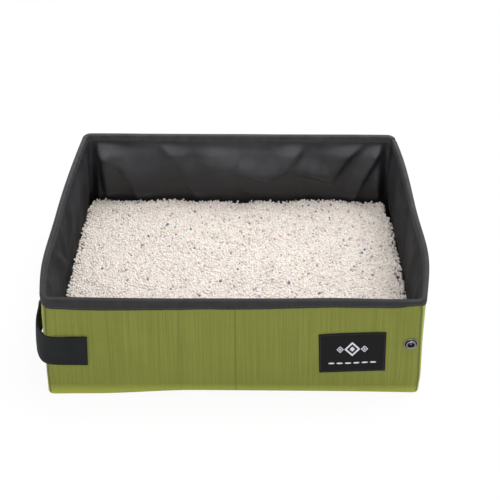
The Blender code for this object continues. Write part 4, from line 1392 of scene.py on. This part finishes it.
# Radii of the bore and of the groove round the ring, which get painted shade, and the groove's height
SNAP_BORE = (0.0012, 0.0036)
SNAP_GROOVE = (0.0055, 0.0063)
SNAP_GROOVE_RISE = 0.0011


def make_gunmetal():
    """Dark nickel plating with fine scratches."""
    material, tree = new_finish("snap_metal", 0.3, metallic=1.0)
    scratch = cloud(tree, add_node(tree, "TexCoord").outputs["Object"], 700.0, 5.0, 0.7)
    colour = ramp(tree, scratch, [(0.3, (0.16, 0.155, 0.15)), (0.7, (0.30, 0.295, 0.29))])
    rough = ramp(tree, scratch, [(0.3, (0.24, 0.24, 0.24)), (0.7, (0.40, 0.40, 0.40))])
    dress(tree, colour, bumped(tree, scratch, 0.00005, 0.4), rough)
    return material


gunmetal = make_gunmetal()
for name in ("strap_stud", "strap_stud_cap", "snap_cap"):
    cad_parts[name].data.materials.clear()
    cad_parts[name].data.materials.append(gunmetal)


def turned(profile, steps):
    """Makes a turned solid on the Z axis from radii and heights."""
    bm = bmesh.new()
    verts = [bm.verts.new((radius, 0, rise)) for radius, rise in profile]
    edges = [bm.edges.new(pair) for pair in zip(verts, verts[1:])]
    bmesh.ops.spin(bm, geom=verts + edges, cent=(0, 0, 0), axis=(0, 0, 1), dvec=(0, 0, 0),
                   angle=math.tau, steps=steps, use_merge=True)
    bmesh.ops.remove_doubles(bm, verts=bm.verts[:], dist=SNAP_MERGE)
    bmesh.ops.recalc_face_normals(bm, faces=bm.faces[:])
    return bm


snap_seat = Vector((SNAP_PLACE[0], -WALL_Y - SNAP_GAP, SNAP_PLACE[1]))
snap_turn = Matrix.Translation(snap_seat) @ Matrix.Rotation(math.pi / 2, 4, "X")
snap_bm = turned(SNAP_PROFILE, SNAP_STEPS)
bmesh.ops.transform(snap_bm, matrix=snap_turn, verts=snap_bm.verts[:])
bmesh.ops.holes_fill(snap_bm, edges=[edge for edge in snap_bm.edges if edge.is_boundary])
bmesh.ops.recalc_face_normals(snap_bm, faces=snap_bm.faces[:])
snap = finish_piece("snap_ring", snap_bm, gunmetal, sharp=50)
# Painted shade: near-black faces in the bore and in the low part of the groove round the ring
painted_recess_shade, painted_recess_shade_tree = new_finish("snap_painted_recess_shade", 0.6, 0.2)
painted_recess_shade_tree.nodes["Principled BSDF"].inputs["Base Color"].default_value = (0.010, 0.010, 0.011, 1)
snap.data.materials.append(painted_recess_shade)
for face in snap.data.polygons:
    radius = math.hypot(face.center.x - SNAP_PLACE[0], face.center.z - SNAP_PLACE[1])
    low = -WALL_Y - face.center.y < SNAP_GROOVE_RISE
    if SNAP_BORE[0] < radius < SNAP_BORE[1] or (SNAP_GROOVE[0] < radius < SNAP_GROOVE[1] and low):
        face.material_index = 1
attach(snap, "front_wall")
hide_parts("snap_socket")


# The label
# A black satin patch is sewn on at a slight tilt, with small stitches close to its edges. Pale thread
# is woven into it as a plain ornament of three lozenges and a row of dashes.
LABEL_WIDTH = 0.0716
LABEL_HEIGHT = 0.0560
LABEL_THICKNESS = 0.0009
LABEL_SHEET = 0.8 * LABEL_THICKNESS
LABEL_TILT = math.radians(3.1)
LABEL_PUFF = 0.0010
LABEL_CROWN = 0.0008
LABEL_SOFT_EDGE = 0.007
LABEL_PLACE = (0.1278, 0.0620)
LABEL_GAP = 0.0002
LABEL_CELLS = (48, 38)
# Place, half width and half height of each lozenge, from the label's middle
LOZENGES = ((0.0, 0.0060, 0.0085, 0.0100), (-0.0130, 0.0060, 0.0038, 0.0046),
            (0.0130, 0.0060, 0.0038, 0.0046))
DASHES = (-0.0225, -0.0135, -0.0045, 0.0045, 0.0135, 0.0225)
LOZENGE_LINE = 0.30
LOZENGE_CORE = 0.34
DASH_UP = -0.0140
DASH = (0.0034, 0.0011)
ORNAMENT = 0.0003
ORNAMENT_PROUD = 0.00025
SEAM_INSET = 0.0016
SEAM_PITCH = 0.0028
SEAM_STITCH = (0.0010, 0.0002)


def label_place(across, up, proud):
    """Point on the label, from its middle, and a height off the wall."""
    turn = Matrix.Rotation(-LABEL_TILT, 3, "Y")
    crown = LABEL_CROWN * (1 - (2 * across / LABEL_WIDTH) ** 2) * max(0.0, 2 * up / LABEL_HEIGHT)
    flat = turn @ Vector((across, 0, up + crown))
    return Vector((LABEL_PLACE[0] + flat.x, -WALL_Y - LABEL_GAP - proud, LABEL_PLACE[1] + flat.z))


def label_rise(across, up):
    """How far the satin stands off the wall: sewn down at its edges and soft in between."""
    edge = min(LABEL_WIDTH / 2 - abs(across), LABEL_HEIGHT / 2 - abs(up))
    soft = 0.5 + 0.5 * noise.noise(Vector((across * 40, up * 40, 2.0)))
    return LABEL_THICKNESS + LABEL_PUFF * smoothstep(edge / LABEL_SOFT_EDGE) * soft


def satin_place(across, up):
    """Point of the satin on the label's grid, and its mark on the UV map."""
    across *= LABEL_WIDTH
    up *= LABEL_HEIGHT
    return label_place(across, up, label_rise(across, up)), (across, up)


# Black satin with fine lengthwise floats
satin = speckled("label_cloth", 0.8, 0.1, (1.0,), ((0.0075, 0.0075, 0.0082), (0.0125, 0.0122, 0.0128)),
                 (0.00006, 0.5), on_cloth=True, stretch=(400, 3500, 1))
# Pale grey woven thread of the ornament
pale_thread = speckled("ornament_thread", 0.7, 0.3, (900.0, 3.0), ((0.52, 0.52, 0.57), (0.72, 0.72, 0.77)),
                       (0.0001, 0.5), stretch=(1, 1, 4))
label_bm = cloth_grid(*LABEL_CELLS, LABEL_SHEET, satin_place)
label = finish_piece("label", label_bm, satin, sharp=60)
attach(label, "front_wall")
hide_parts("label_patch")

ornament_bm = bmesh.new()
shapes = []
for place in LOZENGES:
    made = bmesh.ops.create_circle(ornament_bm, cap_ends=True, segments=4, radius=1.0)["verts"]
    faces = list({face for vert in made for face in vert.link_faces})
    ring = bmesh.ops.inset_region(ornament_bm, faces=faces, thickness=LOZENGE_LINE,
                                  use_boundary=True)["faces"]
    bmesh.ops.delete(ornament_bm, geom=faces, context="FACES_ONLY")
    core = bmesh.ops.create_circle(ornament_bm, cap_ends=True, segments=4, radius=LOZENGE_CORE)["verts"]
    shapes.append(({vert for face in ring for vert in face.verts} | set(core), *place))
for across in DASHES:
    made = bmesh.ops.create_circle(ornament_bm, cap_ends=True, segments=12, radius=1.0)["verts"]
    shapes.append((set(made), across, DASH_UP, *DASH))
for verts, across, up, half_width, half_height in shapes:
    for vert in verts:
        x = across + vert.co.x * half_width
        z = up + vert.co.y * half_height
        vert.co = label_place(x, z, label_rise(x, z) + ORNAMENT_PROUD)
bmesh.ops.recalc_face_normals(ornament_bm, faces=ornament_bm.faces[:])
for face in ornament_bm.faces:
    if face.normal.y > 0:
        face.normal_flip()
ornament_bm.normal_update()
bmesh.ops.solidify(ornament_bm, geom=ornament_bm.faces[:], thickness=ORNAMENT)
ornament = finish_piece("label_ornament", ornament_bm, pale_thread)
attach(ornament, "front_wall")

label_seam = bmesh.new()
half_width = LABEL_WIDTH / 2 - SEAM_INSET
half_height = LABEL_HEIGHT / 2 - SEAM_INSET
corners = [Vector((across * half_width, up * half_height))
           for across, up in ((-1, -1), (1, -1), (1, 1), (-1, 1))]
for first, last in zip(corners, corners[1:] + corners[:1]):
    run = last - first
    count = round(run.length / SEAM_PITCH)
    for step in range(count):
        middle = first + run * (step + 0.5) / count
        proud = label_rise(*middle) + STITCH_PROUD
        reach = run.normalized() * SEAM_STITCH[0]
        near = label_place(*(middle - reach), proud)
        add_stitch(label_seam, near, label_place(*(middle + reach), proud), *SEAM_STITCH)
label_stitches = finish_piece("label_stitching", label_seam, thread, sharp=180)
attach(label_stitches, "front_wall")
